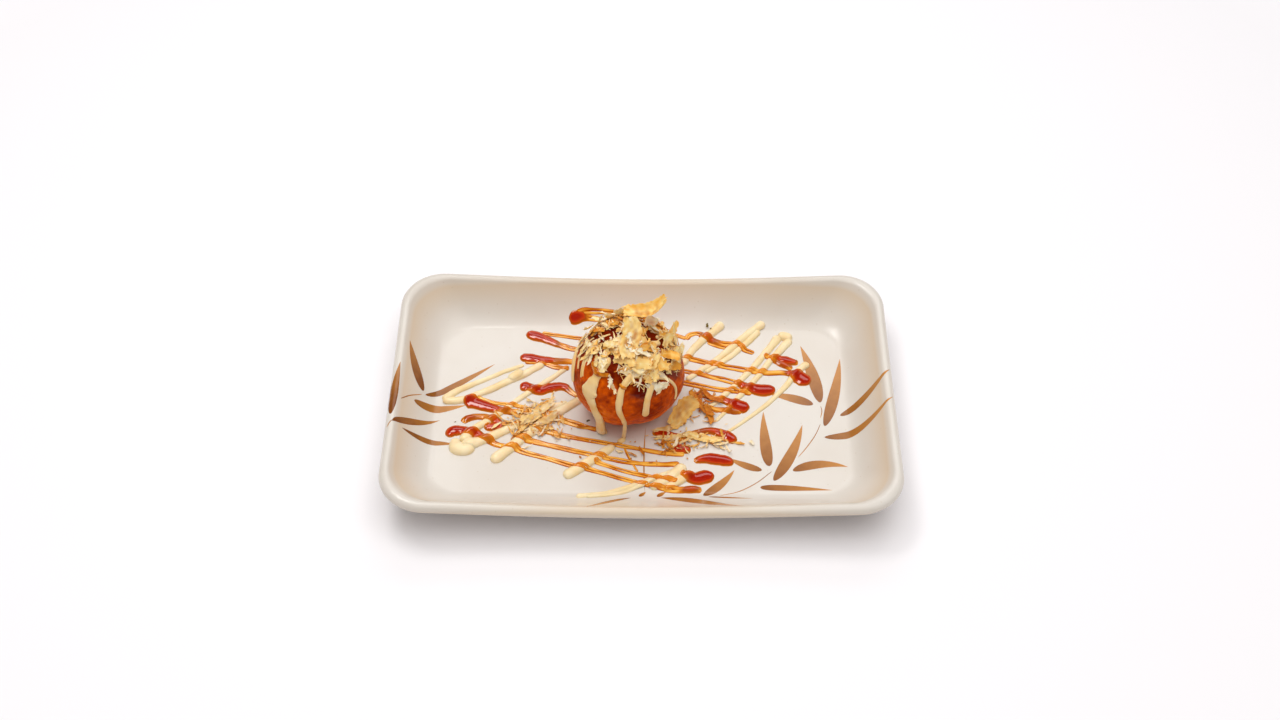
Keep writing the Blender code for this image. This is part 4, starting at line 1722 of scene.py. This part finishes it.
@dataclass(frozen=True)
class HeapShape:
    """Where the shavings lie on the ball: round a tilted axis, out to an uneven edge.

    Angles are in degrees. The bay is where the heap's edge draws back.
    """

    azimuth: float = 20.0
    tilt: float = 8.0
    reach: float = 55.0
    bay: float = 0.35
    bay_azimuth: float = -125.0
    bay_width: float = 38.0
    # gaps where the sauced skin shows: azimuth, angle from the top and reach
    gaps: tuple[tuple[float, float, float], ...] = (
        (167, 18, 12), (50, 19, 10), (-4, 27, 11), (-108, 31, 6), (-149, 43, 13), (-168, 52, 13),
        (172, 41, 9), (-52, 47, 7), (-18, 58, 11), (112, 3, 7), (-75, 18, 6), (95, 44, 8), (30, 58, 8),
    )

    def edge(self, azimuth: Array) -> Array:
        """The reach, less the bay, with two rows of tongues.

        Args:
            azimuth: Azimuths about the axis, in degrees.

        Returns:
            The edge's angle from the axis there.
        """
        a = np.radians(azimuth)
        from_bay = (azimuth - self.bay_azimuth + 180) % 360 - 180
        bay = self.bay * np.exp(-((from_bay / self.bay_width) ** 2))
        return self.reach * (1 - bay + 0.09 * np.sin(4 * a + 1.6) + 0.05 * np.sin(9 * a))

    def cover(self, direction: Array) -> Array:
        """How thickly shavings lie.

        Args:
            direction: (..., 3) unit directions.

        Returns:
            From 0 in the middle of a gap to 1 away from every gap.
        """
        cover = np.ones(direction.shape[:-1])
        for azimuth, polar, reach in self.gaps:
            middle = BallShape.direction(np.array(azimuth), np.array(polar))
            away = np.degrees(np.arccos(np.clip(direction @ middle, -1, 1)))
            cover = np.minimum(cover, np.clip(away / reach - 0.35, 0, 1))
        return cover

    def direction(self, azimuth: Array, share: Array) -> Array:
        """Turn directions over with the heap's axis.

        Args:
            azimuth: Azimuths about the axis, in degrees.
            share: Shares of the edge's angle from it.

        Returns:
            Unit directions from the ball's centre.
        """
        local = BallShape.direction(azimuth, share * self.edge(azimuth))
        turn, tilt = math.radians(self.azimuth), math.radians(self.tilt)
        away = np.array([math.cos(turn), math.sin(turn), 0.0])
        up = np.array([0.0, 0.0, 1.0])
        along = local @ away
        moved = local + along[..., None] * ((math.cos(tilt) - 1) * away - math.sin(tilt) * up)
        return moved + local[..., 2:] * ((math.cos(tilt) - 1) * up + math.sin(tilt) * away)


@dataclass
class Bonito:
    """The heap of shavings on the ball, the single large ones, and those that fell on the plate."""

    ball: BallShape
    relief: Relief
    heap: HeapShape = HeapShape()
    core_rows: int = 46
    core_columns: int = 150
    scattered: int = 280
    fines: int = 520
    # azimuth, angle from the top and turn on the skin, with the shaving that lies there
    placed: tuple[tuple[float, float, float, Sheet], ...] = (
        (-95, 28, 80, Sheet(9, 4.2, 8, 30, 0, 25, 0.8, 0.4, 0.35)),
        (-70, 33, 60, Sheet(10, 4.5, 10, 35, 5, 20, 1.0, 0.4, 0.3)),
        (-48, 36, 100, Sheet(9, 4.0, 6, 30, -5, 25, 0.9, 0.5, 0.3)),
        (-36, 42, 20, Sheet(8, 4.4, 12, 45, 10, 30, 0.8, 0.4, 0.45)),
        (-140, 27, 30, Sheet(6, 3.0, 10, 60, 0, 30, 0.6, 0.6, 0.45)),
        (-122, 23, 60, Sheet(7, 2.6, 14, 50, 0, 40, 0.8, 0.5, 0.35)),
        (-148, 20, 100, Sheet(7, 3.2, 18, 40, 8, 30, 1.2, 0.5, 0.25)),
        (-79, 40, 90, Sheet(8, 2.8, 6, 50, 0, 30, 0.5, 0.6, 0.1)),
        (-92, 38, 100, Sheet(5, 2.4, 0, 40, 0, 30, 0.4, 0.6, 0.05)),
        (-62, 50, 30, Sheet(4.5, 3.0, 0, 30, 0, 20, 0.3, 0.5, 0.55)),
        (-18, 46, 10, Sheet(8, 4.0, 30, 60, 0, 30, 1.0, 0.5, 0.6)),
        (-10, 52, 80, Sheet(9, 3.0, 10, 30, 10, 20, 0.8, 0.5, 0.3)),
        (20, 50, 120, Sheet(10, 3.4, 30, 50, 0, 30, 1.2, 0.5, 0.3)),
        (33, 58, 60, Sheet(8, 3.0, 40, 40, 0, 20, 1.0, 0.5, 0.5)),
        (104, 34, 170, Sheet(7, 4.5, 34, 50, 10, 20, 1.0, 0.4, 0.15)),
        (122, 36, 150, Sheet(8, 3.2, 30, 60, 0, 30, 0.8, 0.5, 0.15)),
        (138, 40, 190, Sheet(7, 3.2, 30, 50, 0, 30, 0.8, 0.5, 0.2)),
        (154, 42, 160, Sheet(7, 3.0, 20, 60, 0, 30, 0.6, 0.5, 0.3)),
        (86, 28, 200, Sheet(7, 3.6, 36, 60, 0, 30, 1.2, 0.5, 0.1)),
        (130, 46, 40, Sheet(7, 3.4, 20, 50, 0, 30, 1.4, 0.5, 0.1)),
        (146, 50, 100, Sheet(7, 3.0, 14, 50, 10, 30, 1.2, 0.5, 0.2)),
        (116, 44, 70, Sheet(7, 3.4, 22, 50, 0, 30, 1.6, 0.5, 0.05)),
        (162, 54, 80, Sheet(6, 2.6, 8, 50, 0, 30, 0.8, 0.5, 0.3)),
        (172, 58, 10, Sheet(6, 1.6, 4, 40, 0, 30, 0.5, 0.5, 0.2, 18, 5, 1.4)),
        (186, 50, 20, Sheet(6, 1.4, 4, 40, 0, 30, 0.5, 0.5, 0.2, 18, 5, 1.4)),
        (196, 46, 0, Sheet(7, 1.6, 4, 40, 0, 30, 0.5, 0.5, 0.3, 18, 5, 1.4)),
        (206, 44, 30, Sheet(5, 1.6, 4, 40, 0, 30, 0.5, 0.5, 0.1, 18, 5, 1.4)),
        (178, 66, 5, Sheet(5, 1.2, 2, 30, 0, 30, 0.4, 0.5, 0.4, 18, 5, 1.4)),
        (216, 40, 60, Sheet(5, 2.0, 4, 40, 0, 30, 0.5, 0.5, 0.2, 18, 5, 1.4)),
        (-113, 50, 20, Sheet(5.5, 1.5, 4, 40, 0, 40, 0.4, 0.5, 0.0, 22, 8, 2.0)),
        (-106, 57, 30, Sheet(5, 1.3, 4, 60, 0, 40, 0.4, 0.5, 0.05, 20, 8, 2.0)),
        (-133, 35, 20, Sheet(6, 3.4, 4, 40, 0, 30, 1.1, 0.4, 0.1, 22, 8, 1.6)),
        (-128, 41, 60, Sheet(5, 2.6, 4, 40, 0, 30, 1.3, 0.4, 0.15, 20, 8, 1.6)),
        (-62, 47, 10, Sheet(6, 3.0, 4, 40, 0, 40, 0.5, 0.5, 0.35, 22, 8, 1.4, 0.2)),
        (-54, 46, 0, Sheet(7, 3.2, 6, 40, 0, 40, 0.7, 0.5, 0.25, 22, 8, 1.4)),
        (-43, 54, 10, Sheet(6, 1.4, 6, 40, 0, 40, 0.5, 0.5, 0.15, 20, 6, 1.6)),
        (-14, 48, 150, Sheet(7, 3.0, 8, 40, 0, 40, 0.8, 0.5, 0.3, 22, 8, 1.0)),
        (-56, 59, 70, Sheet(7, 3.4, 4, 50, 0, 40, 0.5, 0.5, 0.0, 22, 10, 1.8)),
        (-50, 64, 110, Sheet(6, 3.0, 4, 50, 0, 40, 0.5, 0.5, 0.0, 22, 10, 1.8)),
        (-4, 60, 100, Sheet(9, 3.4, 8, 30, 0, 30, 0.6, 0.5, 0.3)),
        (-22, 57, 30, Sheet(7, 3.6, 10, 40, 0, 30, 0.6, 0.5, 0.65)),
        (10, 66, 60, Sheet(8, 3.0, 14, 40, 0, 30, 0.6, 0.5, 0.2)),
        (22, 70, 110, Sheet(8, 3.2, 8, 40, 0, 30, 0.6, 0.5, 0.35)),
        (-170, 40, 60, Sheet(6, 2.4, 6, 40, 0, 30, 0.5, 0.6, 0.3)),
        (176, 46, 90, Sheet(7, 2.6, 6, 40, 0, 30, 0.5, 0.6, 0.25)),
        (-160, 33, 20, Sheet(6, 2.2, 10, 60, 0, 30, 0.6, 0.6, 0.3)),
    )
    # middle and turns of the large shavings that stand free of the ball's top
    standing: tuple[tuple[Turn, Turn, Sheet], ...] = (
        ((-4.6, -0.2, 49.4), (6, -26, 95), Sheet(16.5, 7.6, 0, 34, 0, 40, 0, 0.35, 0.3, 30, 16, 0.5)),
        ((3.4, 6.4, 51.2), (78, 0, 30), Sheet(6.5, 5.4, 0, 20, 0, 30, 0, 0.85, 0.05)),
        ((10.2, 1.0, 47.0), (60, -20, 40), Sheet(6.5, 3.6, 0, 40, 0, 30, 0, 0.6, 0.3)),
    )
    # the two that are solids of their own: name, solid, middle, turns, shaving and key
    single: tuple[tuple[str, str, Turn, Turn, Sheet, float], ...] = (
        ("bonito_curl_shaving", "bonito_curl", (1.6, 11.4, 53.6), (0, -25, 4),
         Sheet(19, 7.6, 0, 60, 0, 90, 0, 0.4, 0.42, 34, 16, 0.35), 3.3),
        ("bonito_flake_shaving", "bonito_flake", (16.4, -5.6, 10.4), (46, -12, 32),
         Sheet(15, 8.6, 0, 50, 0, 60, 0, 0.5, 0.4, 28, 16, 0.5), 5.1),
    )
    # place and turn on the plate, with the shaving that lies there
    fallen: tuple[tuple[float, float, float, Sheet], ...] = (
        (10.4, -10.6, 20, Sheet(12, 2.8, 3, 20, 0, 20, 0.5, 0.6, 0.3, 22, 8, 0.6)),
        (24.5, -0.5, 140, Sheet(12, 3.4, 6, 60, 5, 50, 0.8, 0.4, 0.8, 20, 10, 0.6, 0.4)),
        (28.5, 4.5, 150, Sheet(11, 2.6, 5, 70, 0, 60, 0.9, 0.5, 0.9, 20, 10, 0.6, 0.5)),
        (21.5, 4.5, 120, Sheet(8, 2.6, 14, 50, 0, 40, 0.6, 0.5, 0.7, 16, 8, 0.8, 0.3)),
        (27, -4.5, 100, Sheet(9, 2.8, 8, 60, 0, 50, 0.8, 0.5, 0.8, 16, 8, 0.8, 0.4)),
        (12, -15.2, 8, Sheet(14, 2.4, 2, 24, 0, 20, 0.6, 0.4, 0.25, 26, 7, 1.4)),
        (24, -16.0, -8, Sheet(15, 3.6, 2, 30, 0, 26, 0.9, 0.5, 0.3, 28, 9, 1.6)),
        (-41, -4.6, 40, Sheet(14, 2.4, 2, 30, 0, 50, 1.2, 0.4, 0.15, 26, 8, 1.2, 0.25)),
        (-46.4, -10.6, 56, Sheet(10, 2.2, 2, 40, 0, 50, 1.1, 0.4, 0.3, 24, 8, 1.2, 0.2)),
        (-37.6, -7.6, 32, Sheet(10, 2.6, 2, 40, 0, 50, 1.0, 0.4, 0.2, 20, 8, 1.2, 0.35)),
        (-39.6, -1.6, 44, Sheet(12, 3.4, 3, 24, 0, 40, 0.9, 0.5, 0.1, 26, 9, 1.2, 0.3)),
        (-44.4, -7.4, 30, Sheet(9, 3.2, 2, 24, 0, 36, 1.3, 0.5, 0.2, 20, 9, 1.2, 0.2)),
    )
    # clusters of shavings: x, y, spread along x and y, count, tone and soak
    clusters: tuple[tuple[float, float, float, float, int, float, float], ...] = (
        (22, -17, 7.0, 2.6, 38, 0.35, 0.12), (13, -20.5, 4.0, 2.6, 16, 0.6, 0.5),
        (26, 1, 3.6, 4.5, 18, 0.7, 0.5), (-43.6, -8.2, 6.0, 4.2, 84, 0.3, 0.26),
        (-8, -25, 10, 4.0, 5, 0.6, 0.4), (-40, 3, 4.0, 3.0, 6, 0.4, 0.2),
        (18, -6, 3.0, 4.0, 3, 0.6, 0.3), (-30, -14, 6.0, 4.0, 5, 0.6, 0.3),
    )

    noise: Noise = field(default_factory=lambda: Noise(41))
    # crushed green laver on the plate, placed as the fallen shavings are
    laver: tuple[tuple[float, float, float, Sheet], ...] = (
        (-21.5, -7.0, 20, Sheet(1.5, 0.8, 0, 20, 0, 20, 0.1, 0.5, 0.3, 5, 4)),
        (27.2, 43.2, 70, Sheet(1.7, 1.1, 0, 20, 0, 20, 0.9, 0.5, 0.3, 5, 4)),
        (28.6, 41.2, 110, Sheet(1.1, 0.7, 0, 20, 0, 20, 0.9, 0.5, 0.4, 5, 4)),
        (-74.8, -7.8, 50, Sheet(0.9, 0.4, 0, 20, 0, 20, 0.1, 0.5, 0.9, 5, 4)),
    )

    def on_ball(self, direction: Array, turn: float) -> Carrier:
        """A carrier that bends distances round the ball's skin.

        Args:
            direction: Unit direction of the place from the ball's centre.
            turn: Turn on the skin, in degrees.

        Returns:
            The carrier.
        """
        side = unit(np.cross([0.0, 0.0, 1.0], direction))
        down = np.cross(side, direction)
        angle = math.radians(turn)
        first = math.cos(angle) * down + math.sin(angle) * side
        second = np.cross(direction, first)

        def carry(a: Array, b: Array, lift: Array) -> Array:
            """Put distances on the skin."""
            radius = self.ball.radius + lift[..., None]
            moved = direction + (a[..., None] * first + b[..., None] * second) / radius
            return self.ball.point(unit(moved), lift)

        return carry

    def on_skin(self, azimuth: float, polar: float, turn: float) -> Carrier:
        """A carrier at an azimuth and an angle from the top, in degrees."""
        return self.on_ball(self.ball.direction(np.array(azimuth), np.array(polar)), turn)

    def on_plate(self, x: float, y: float, turn: float) -> Carrier:
        """A carrier that lays distances over the plate and what is on it.

        Args:
            x: x of the place, in millimetres.
            y: y of the place, in millimetres.
            turn: Turn on the plate, in degrees.

        Returns:
            The carrier.
        """
        angle = math.radians(turn)

        def carry(a: Array, b: Array, lift: Array) -> Array:
            """Put distances on the plate."""
            px = x * MM + a * math.cos(angle) - b * math.sin(angle)
            py = y * MM + a * math.sin(angle) + b * math.cos(angle)
            cream = self.relief.sample(self.relief.soft, px, py)
            under = self.relief.shape.height(px, py) + 0.6 * cream
            return np.stack([px, py, under + lift], axis=-1)

        return carry

    @staticmethod
    def standing_free(middle: Sequence[float], turns: Sequence[float]) -> Carrier:
        """A carrier that places distances rigidly.

        Args:
            middle: The shaving's middle, in millimetres.
            turns: Turns about X, Y and Z, in degrees.

        Returns:
            The carrier.
        """
        turn = np.array(Euler([math.radians(t) for t in turns], "XYZ").to_matrix())

        def carry(a: Array, b: Array, lift: Array) -> Array:
            """Put distances in their place."""
            return np.array(middle) * MM + np.stack([a, b, lift - lift.mean()], axis=-1) @ turn.T

        return carry

    def core(self) -> Shell:
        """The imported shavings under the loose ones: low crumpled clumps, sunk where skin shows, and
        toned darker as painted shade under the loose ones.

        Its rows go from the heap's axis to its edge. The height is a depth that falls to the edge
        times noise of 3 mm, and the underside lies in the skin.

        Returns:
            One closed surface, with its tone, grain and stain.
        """
        share = np.linspace(0.02, 0.92, self.core_rows)[:, None]
        azimuth = np.linspace(-180, 180, self.core_columns, endpoint=False)[None]
        direction = self.heap.direction(*np.broadcast_arrays(azimuth, share))
        clumps = self.noise.at(direction, 0.16, 3) + 0.5 * self.noise.at(direction, 0.07, 2)
        height = (1.3 * (1 - share**2) + 0.3) * (0.4 + 0.8 * clumps)
        height = height - 2.2 * (1 - self.heap.cover(direction))
        height = np.maximum(height, -0.5) * np.clip((0.95 - share) * 12, 0, 1) * MM
        top = self.ball.point(direction, height)
        under = self.ball.point(direction[::-1], -0.9 * MM)
        points = np.concatenate([top, under])
        # painted shade: a darker, more amber tone than the loose shavings, which shade it
        tone = 0.62 + 0.3 * self.noise.at(points, 1.5 * MM, 2).ravel()
        stain = np.clip(0.8 - np.tile(height, (2, 1)).ravel() / (1.6 * MM), 0.1, 1)
        return tube(points, True, {"tone": tone, "grain": tone * 9, "stain": stain})

    def loose(self, rng: np.random.Generator) -> list[Shell]:
        """Strew shavings over the heap: more of them and higher near its axis.

        Args:
            rng: The random draws.

        Returns:
            One surface for each.
        """
        shells = []
        for number in range(self.scattered):
            azimuth, share = rng.uniform(-180, 180), rng.uniform(0, 0.9) ** 0.6
            direction = self.heap.direction(np.array(azimuth), np.array(share))
            cover = self.heap.cover(direction)
            if rng.uniform(0, 1) > cover**1.5:
                continue
            length = rng.uniform(3, 8.5) * (1.1 - 0.35 * share) * (0.5 + 0.5 * cover)
            sheet = Sheet(
                length, rng.uniform(0.7, 3.0) * (0.6 + 0.4 * cover), rng.uniform(0, 14),
                rng.uniform(10, 70), rng.uniform(-20, 20), rng.uniform(0, 80),
                0.15 + rng.uniform(0, 1) * 2.0 * (1 - share**2), rng.uniform(0.2, 0.7),
                float(np.clip(rng.normal(0.4, 0.26), 0, 1)), 12, 4, 1.3,
            )
            carrier = self.on_ball(direction, rng.uniform(0, 360))
            shells.append(sheet.shell(carrier, self.noise, number + 1.0))
        return shells

    def fine(self, rng: np.random.Generator) -> list[Shell]:
        """Strew fibres 0.25 to 0.6 mm wide, and crumbs, on the heap and a little past its edge.

        Args:
            rng: The random draws.

        Returns:
            One surface for each.
        """
        shells = []
        for number in range(self.fines):
            azimuth, share = rng.uniform(-180, 180), rng.uniform(0, 1.15) ** 0.5
            direction = self.heap.direction(np.array(azimuth), np.array(share))
            if rng.uniform(0, 1) > 0.1 + self.heap.cover(direction):
                continue
            fibre = number % 3 > 0
            length = rng.uniform(2.2, 6.0) if fibre else rng.uniform(0.5, 1.9)
            width = rng.uniform(0.25, 0.6) if fibre else length * rng.uniform(0.3, 0.9)
            sheet = Sheet(
                length, width, rng.uniform(-4, 16), rng.uniform(0, 90), rng.uniform(-20, 20),
                rng.uniform(0, 60), 0.2 + rng.uniform(0, 1.9) * (1 - share / 1.2), 0.6,
                float(np.clip(rng.normal(0.2, 0.25), 0, 1)), 8 if fibre else 4, 3,
            )
            carrier = self.on_ball(direction, rng.uniform(0, 360))
            shells.append(sheet.shell(carrier, self.noise, number + 0.5))
        return shells

    def strewn(self, rng: np.random.Generator) -> list[Shell]:
        """Strew small shavings on the plate, and crumbs of them, in the clusters.

        Args:
            rng: The random draws.

        Returns:
            One surface for each.
        """
        shells = []
        for x, y, spread_x, spread_y, count, tone, soak in self.clusters:
            for number in range(2 * count):
                crumb = number % 2 == 0
                length = rng.uniform(0.6, 2.0) if crumb else rng.uniform(2.2, 6.5)
                sheet = Sheet(
                    length, rng.uniform(0.35, 0.8) if crumb else rng.uniform(0.5, 1.4),
                    rng.uniform(0, 14), rng.uniform(0, 120), rng.uniform(-10, 10), rng.uniform(0, 120),
                    0.15 + rng.uniform(0, 0.7), 0.5, float(np.clip(rng.normal(tone, 0.24), 0, 1)),
                    4 if crumb else 12, 3 if crumb else 4, 1.5, soak * rng.uniform(0, 2),
                )
                place = rng.normal((x, y), (spread_x, spread_y))
                carrier = self.on_plate(place[0], place[1], rng.uniform(0, 360))
                shells.append(sheet.shell(carrier, self.noise, length * 3))
        return shells

    def make(self, finish: Material, laver_finish: Material) -> None:
        """Build the heap, the two large shavings that are solids of their own, and the fallen ones.

        Args:
            finish: The shavings.
            laver_finish: The laver.
        """
        rng = np.random.default_rng(41)

        def lay(carrier: Callable[..., Carrier], rows: Sequence[Sequence[Any]],
                key: float) -> list[Shell]:
            """Lay each row's shaving, which comes last, at the place that the row gives."""
            return [
                sheet.shell(carrier(*place), self.noise, number + key)
                for number, (*place, sheet) in enumerate(rows)
            ]

        on_heap = [self.core()] + self.loose(rng) + self.fine(rng)
        on_heap += lay(self.on_skin, self.placed, 0.3)
        on_heap += lay(self.standing_free, self.standing, 0.7)
        make_piece("bonito_heap_shavings", merge(on_heap), finish, ["bonito_heap"])
        for name, solid, middle, turns, sheet, key in self.single:
            shell = sheet.shell(self.standing_free(middle, turns), self.noise, key)
            make_piece(name, shell, finish, [solid])
        on_plate = self.strewn(rng) + lay(self.on_plate, self.fallen, 0.9)
        make_piece("bonito_fallen_shavings", merge(on_plate), finish)
        specks = merge(lay(self.on_plate, self.laver, 0.2))
        make_piece("green_laver_specks", specks, laver_finish)


# ---------------- studio

@dataclass(frozen=True)
class SoftBox:
    """A rectangular light that points at the plate, seen in gloss or not."""

    name: str
    place: Turn
    size: tuple[float, float]
    power: float
    colour: str = "FFFFFF"
    seen: bool = True

    def make(self) -> None:
        """Add the light to the scene."""
        data = bpy.data.lights.new(self.name, "AREA")
        data.shape = "RECTANGLE"
        data.size, data.size_y = self.size
        data.energy = self.power
        data.color = linear(self.colour)[:3]
        light = bpy.data.objects.new(self.name, data)
        light.visible_glossy = self.seen
        bpy.context.scene.collection.objects.link(light)
        light.location = self.place
        light.rotation_euler = (-Vector(self.place)).to_track_quat("-Z", "Y").to_euler()


@dataclass
class Studio:
    """A pale table, soft boxes and the camera."""

    look_at: Turn = (-0.0009, 0.0301, 0.0)
    distance: float = 0.6807
    elevation: float = 50.0
    yaw: float = 0.35
    lens: float = 45.73
    sensor: float = 36.0
    table_half: float = 4.0
    table_top: float = -0.2 * MM
    table_colour: str = "F1EFF3"
    world_colour: str = "FBF9F5"
    lights: tuple[SoftBox, ...] = (
        SoftBox("spark", (-0.32, 0.30, 1.0), (0.44, 0.24), 2.9, "FFFDFA"),
        SoftBox("top", (0.1, -0.14, 1.2), (1.3, 1.1), 11.2, "FFFEFC", seen=False),
        SoftBox("back", (0.1, 0.80, 0.85), (0.9, 0.3), 1.7),
    )

    def camera(self) -> None:
        """Set up the camera, which looks down at the plate from its long side."""
        data = bpy.data.cameras.new("camera")
        data.lens = self.lens
        data.sensor_width = self.sensor
        data.clip_start = 10 * MM
        camera = bpy.data.objects.new("camera", data)
        bpy.context.scene.collection.objects.link(camera)
        tilt, yaw = math.radians(self.elevation), math.radians(self.yaw)
        back = Vector((
            math.sin(yaw) * math.cos(tilt), -math.cos(yaw) * math.cos(tilt), math.sin(tilt),
        ))
        camera.location = Vector(self.look_at) + self.distance * back
        camera.rotation_euler = (math.pi / 2 - tilt, 0.0, yaw)
        bpy.context.scene.camera = camera

    def table(self) -> None:
        """Lay the pale table. Away from the plate it glows, so the far table stays pale too."""
        half, top = self.table_half, self.table_top
        corners = [(-half, -half, top), (half, -half, top), (half, half, top), (-half, half, top)]
        mesh = bpy.data.meshes.new("table")
        mesh.from_pydata(corners, [], [(0, 1, 2, 3)])
        material, tree, shader = start_material("pale_table")
        coords = add_node(tree, "TexCoord")
        away = add_node(
            tree, "VectorMath", links={0: coords.outputs["Object"]}, operation="LENGTH",
        )
        glow = add_node(
            tree, "MapRange", {"From Min": 0.4, "From Max": 1.3, "To Max": 0.7},
            {"Value": away.outputs["Value"]},
        )
        colour = linear(self.table_colour)
        connect(
            tree, shader, {"Base Color": colour, "Emission Color": colour, "Roughness": 0.7},
            {"Emission Strength": glow.outputs["Result"]},
        )
        mesh.materials.append(material)
        table = bpy.data.objects.new("table", mesh)
        bpy.context.scene.collection.objects.link(table)

    def world(self) -> None:
        """Light the world: full to the camera, dim to matt surfaces and dimmer to gloss."""
        world = bpy.data.worlds.new("studio")
        world.use_nodes = True
        tree = world.node_tree
        rays = add_node(tree, "LightPath")
        strength = add_node(
            tree, "MapRange", {"To Min": 0.36, "To Max": 0.06},
            {"Value": rays.outputs["Is Glossy Ray"]},
        )
        seen = add_node(
            tree, "Math",
            links={0: strength.outputs["Result"], 1: rays.outputs["Is Camera Ray"]},
            operation="MAXIMUM",
        )
        connect(
            tree, tree.nodes["Background"], {"Color": linear(self.world_colour)},
            {"Strength": seen.outputs[0]},
        )
        bpy.context.scene.world = world

    def make(self) -> None:
        """Build the studio."""
        self.world()
        bpy.context.scene.view_settings.view_transform = "Standard"
        self.camera()
        self.table()
        for light in self.lights:
            light.make()


def main() -> None:
    """Build every piece in order."""
    logging.basicConfig(level=logging.INFO, format="%(message)s")
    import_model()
    shape = PlateShape()
    Studio().make()
    Plate(shape).make(CreamGlaze().make())
    BambooPrint(shape).make(LeafPrint().make())
    ball = BallShape()
    relief = Relief(shape)
    Ball(ball).make(FriedBatter().make())
    Mayonnaise(shape, ball, relief).make(
        MayonnaiseFinish().make(),
        MayonnaiseFinish("mayonnaise_thin_and_shaded_on_crust", "F4D8A2", "EABC74").make(),
    )
    Sauce(shape, ball, relief).make(BrownSauce().make())
    Bonito(ball, relief).make(
        BonitoFinish().make(),
        BonitoFinish(((0.0, "3C3414"), (0.5, "5C4C1E"), (1.0, "86703C")), "4A3A14",
                     "crushed_green_laver").make(),
    )


if __name__ == "__main__":
    main()
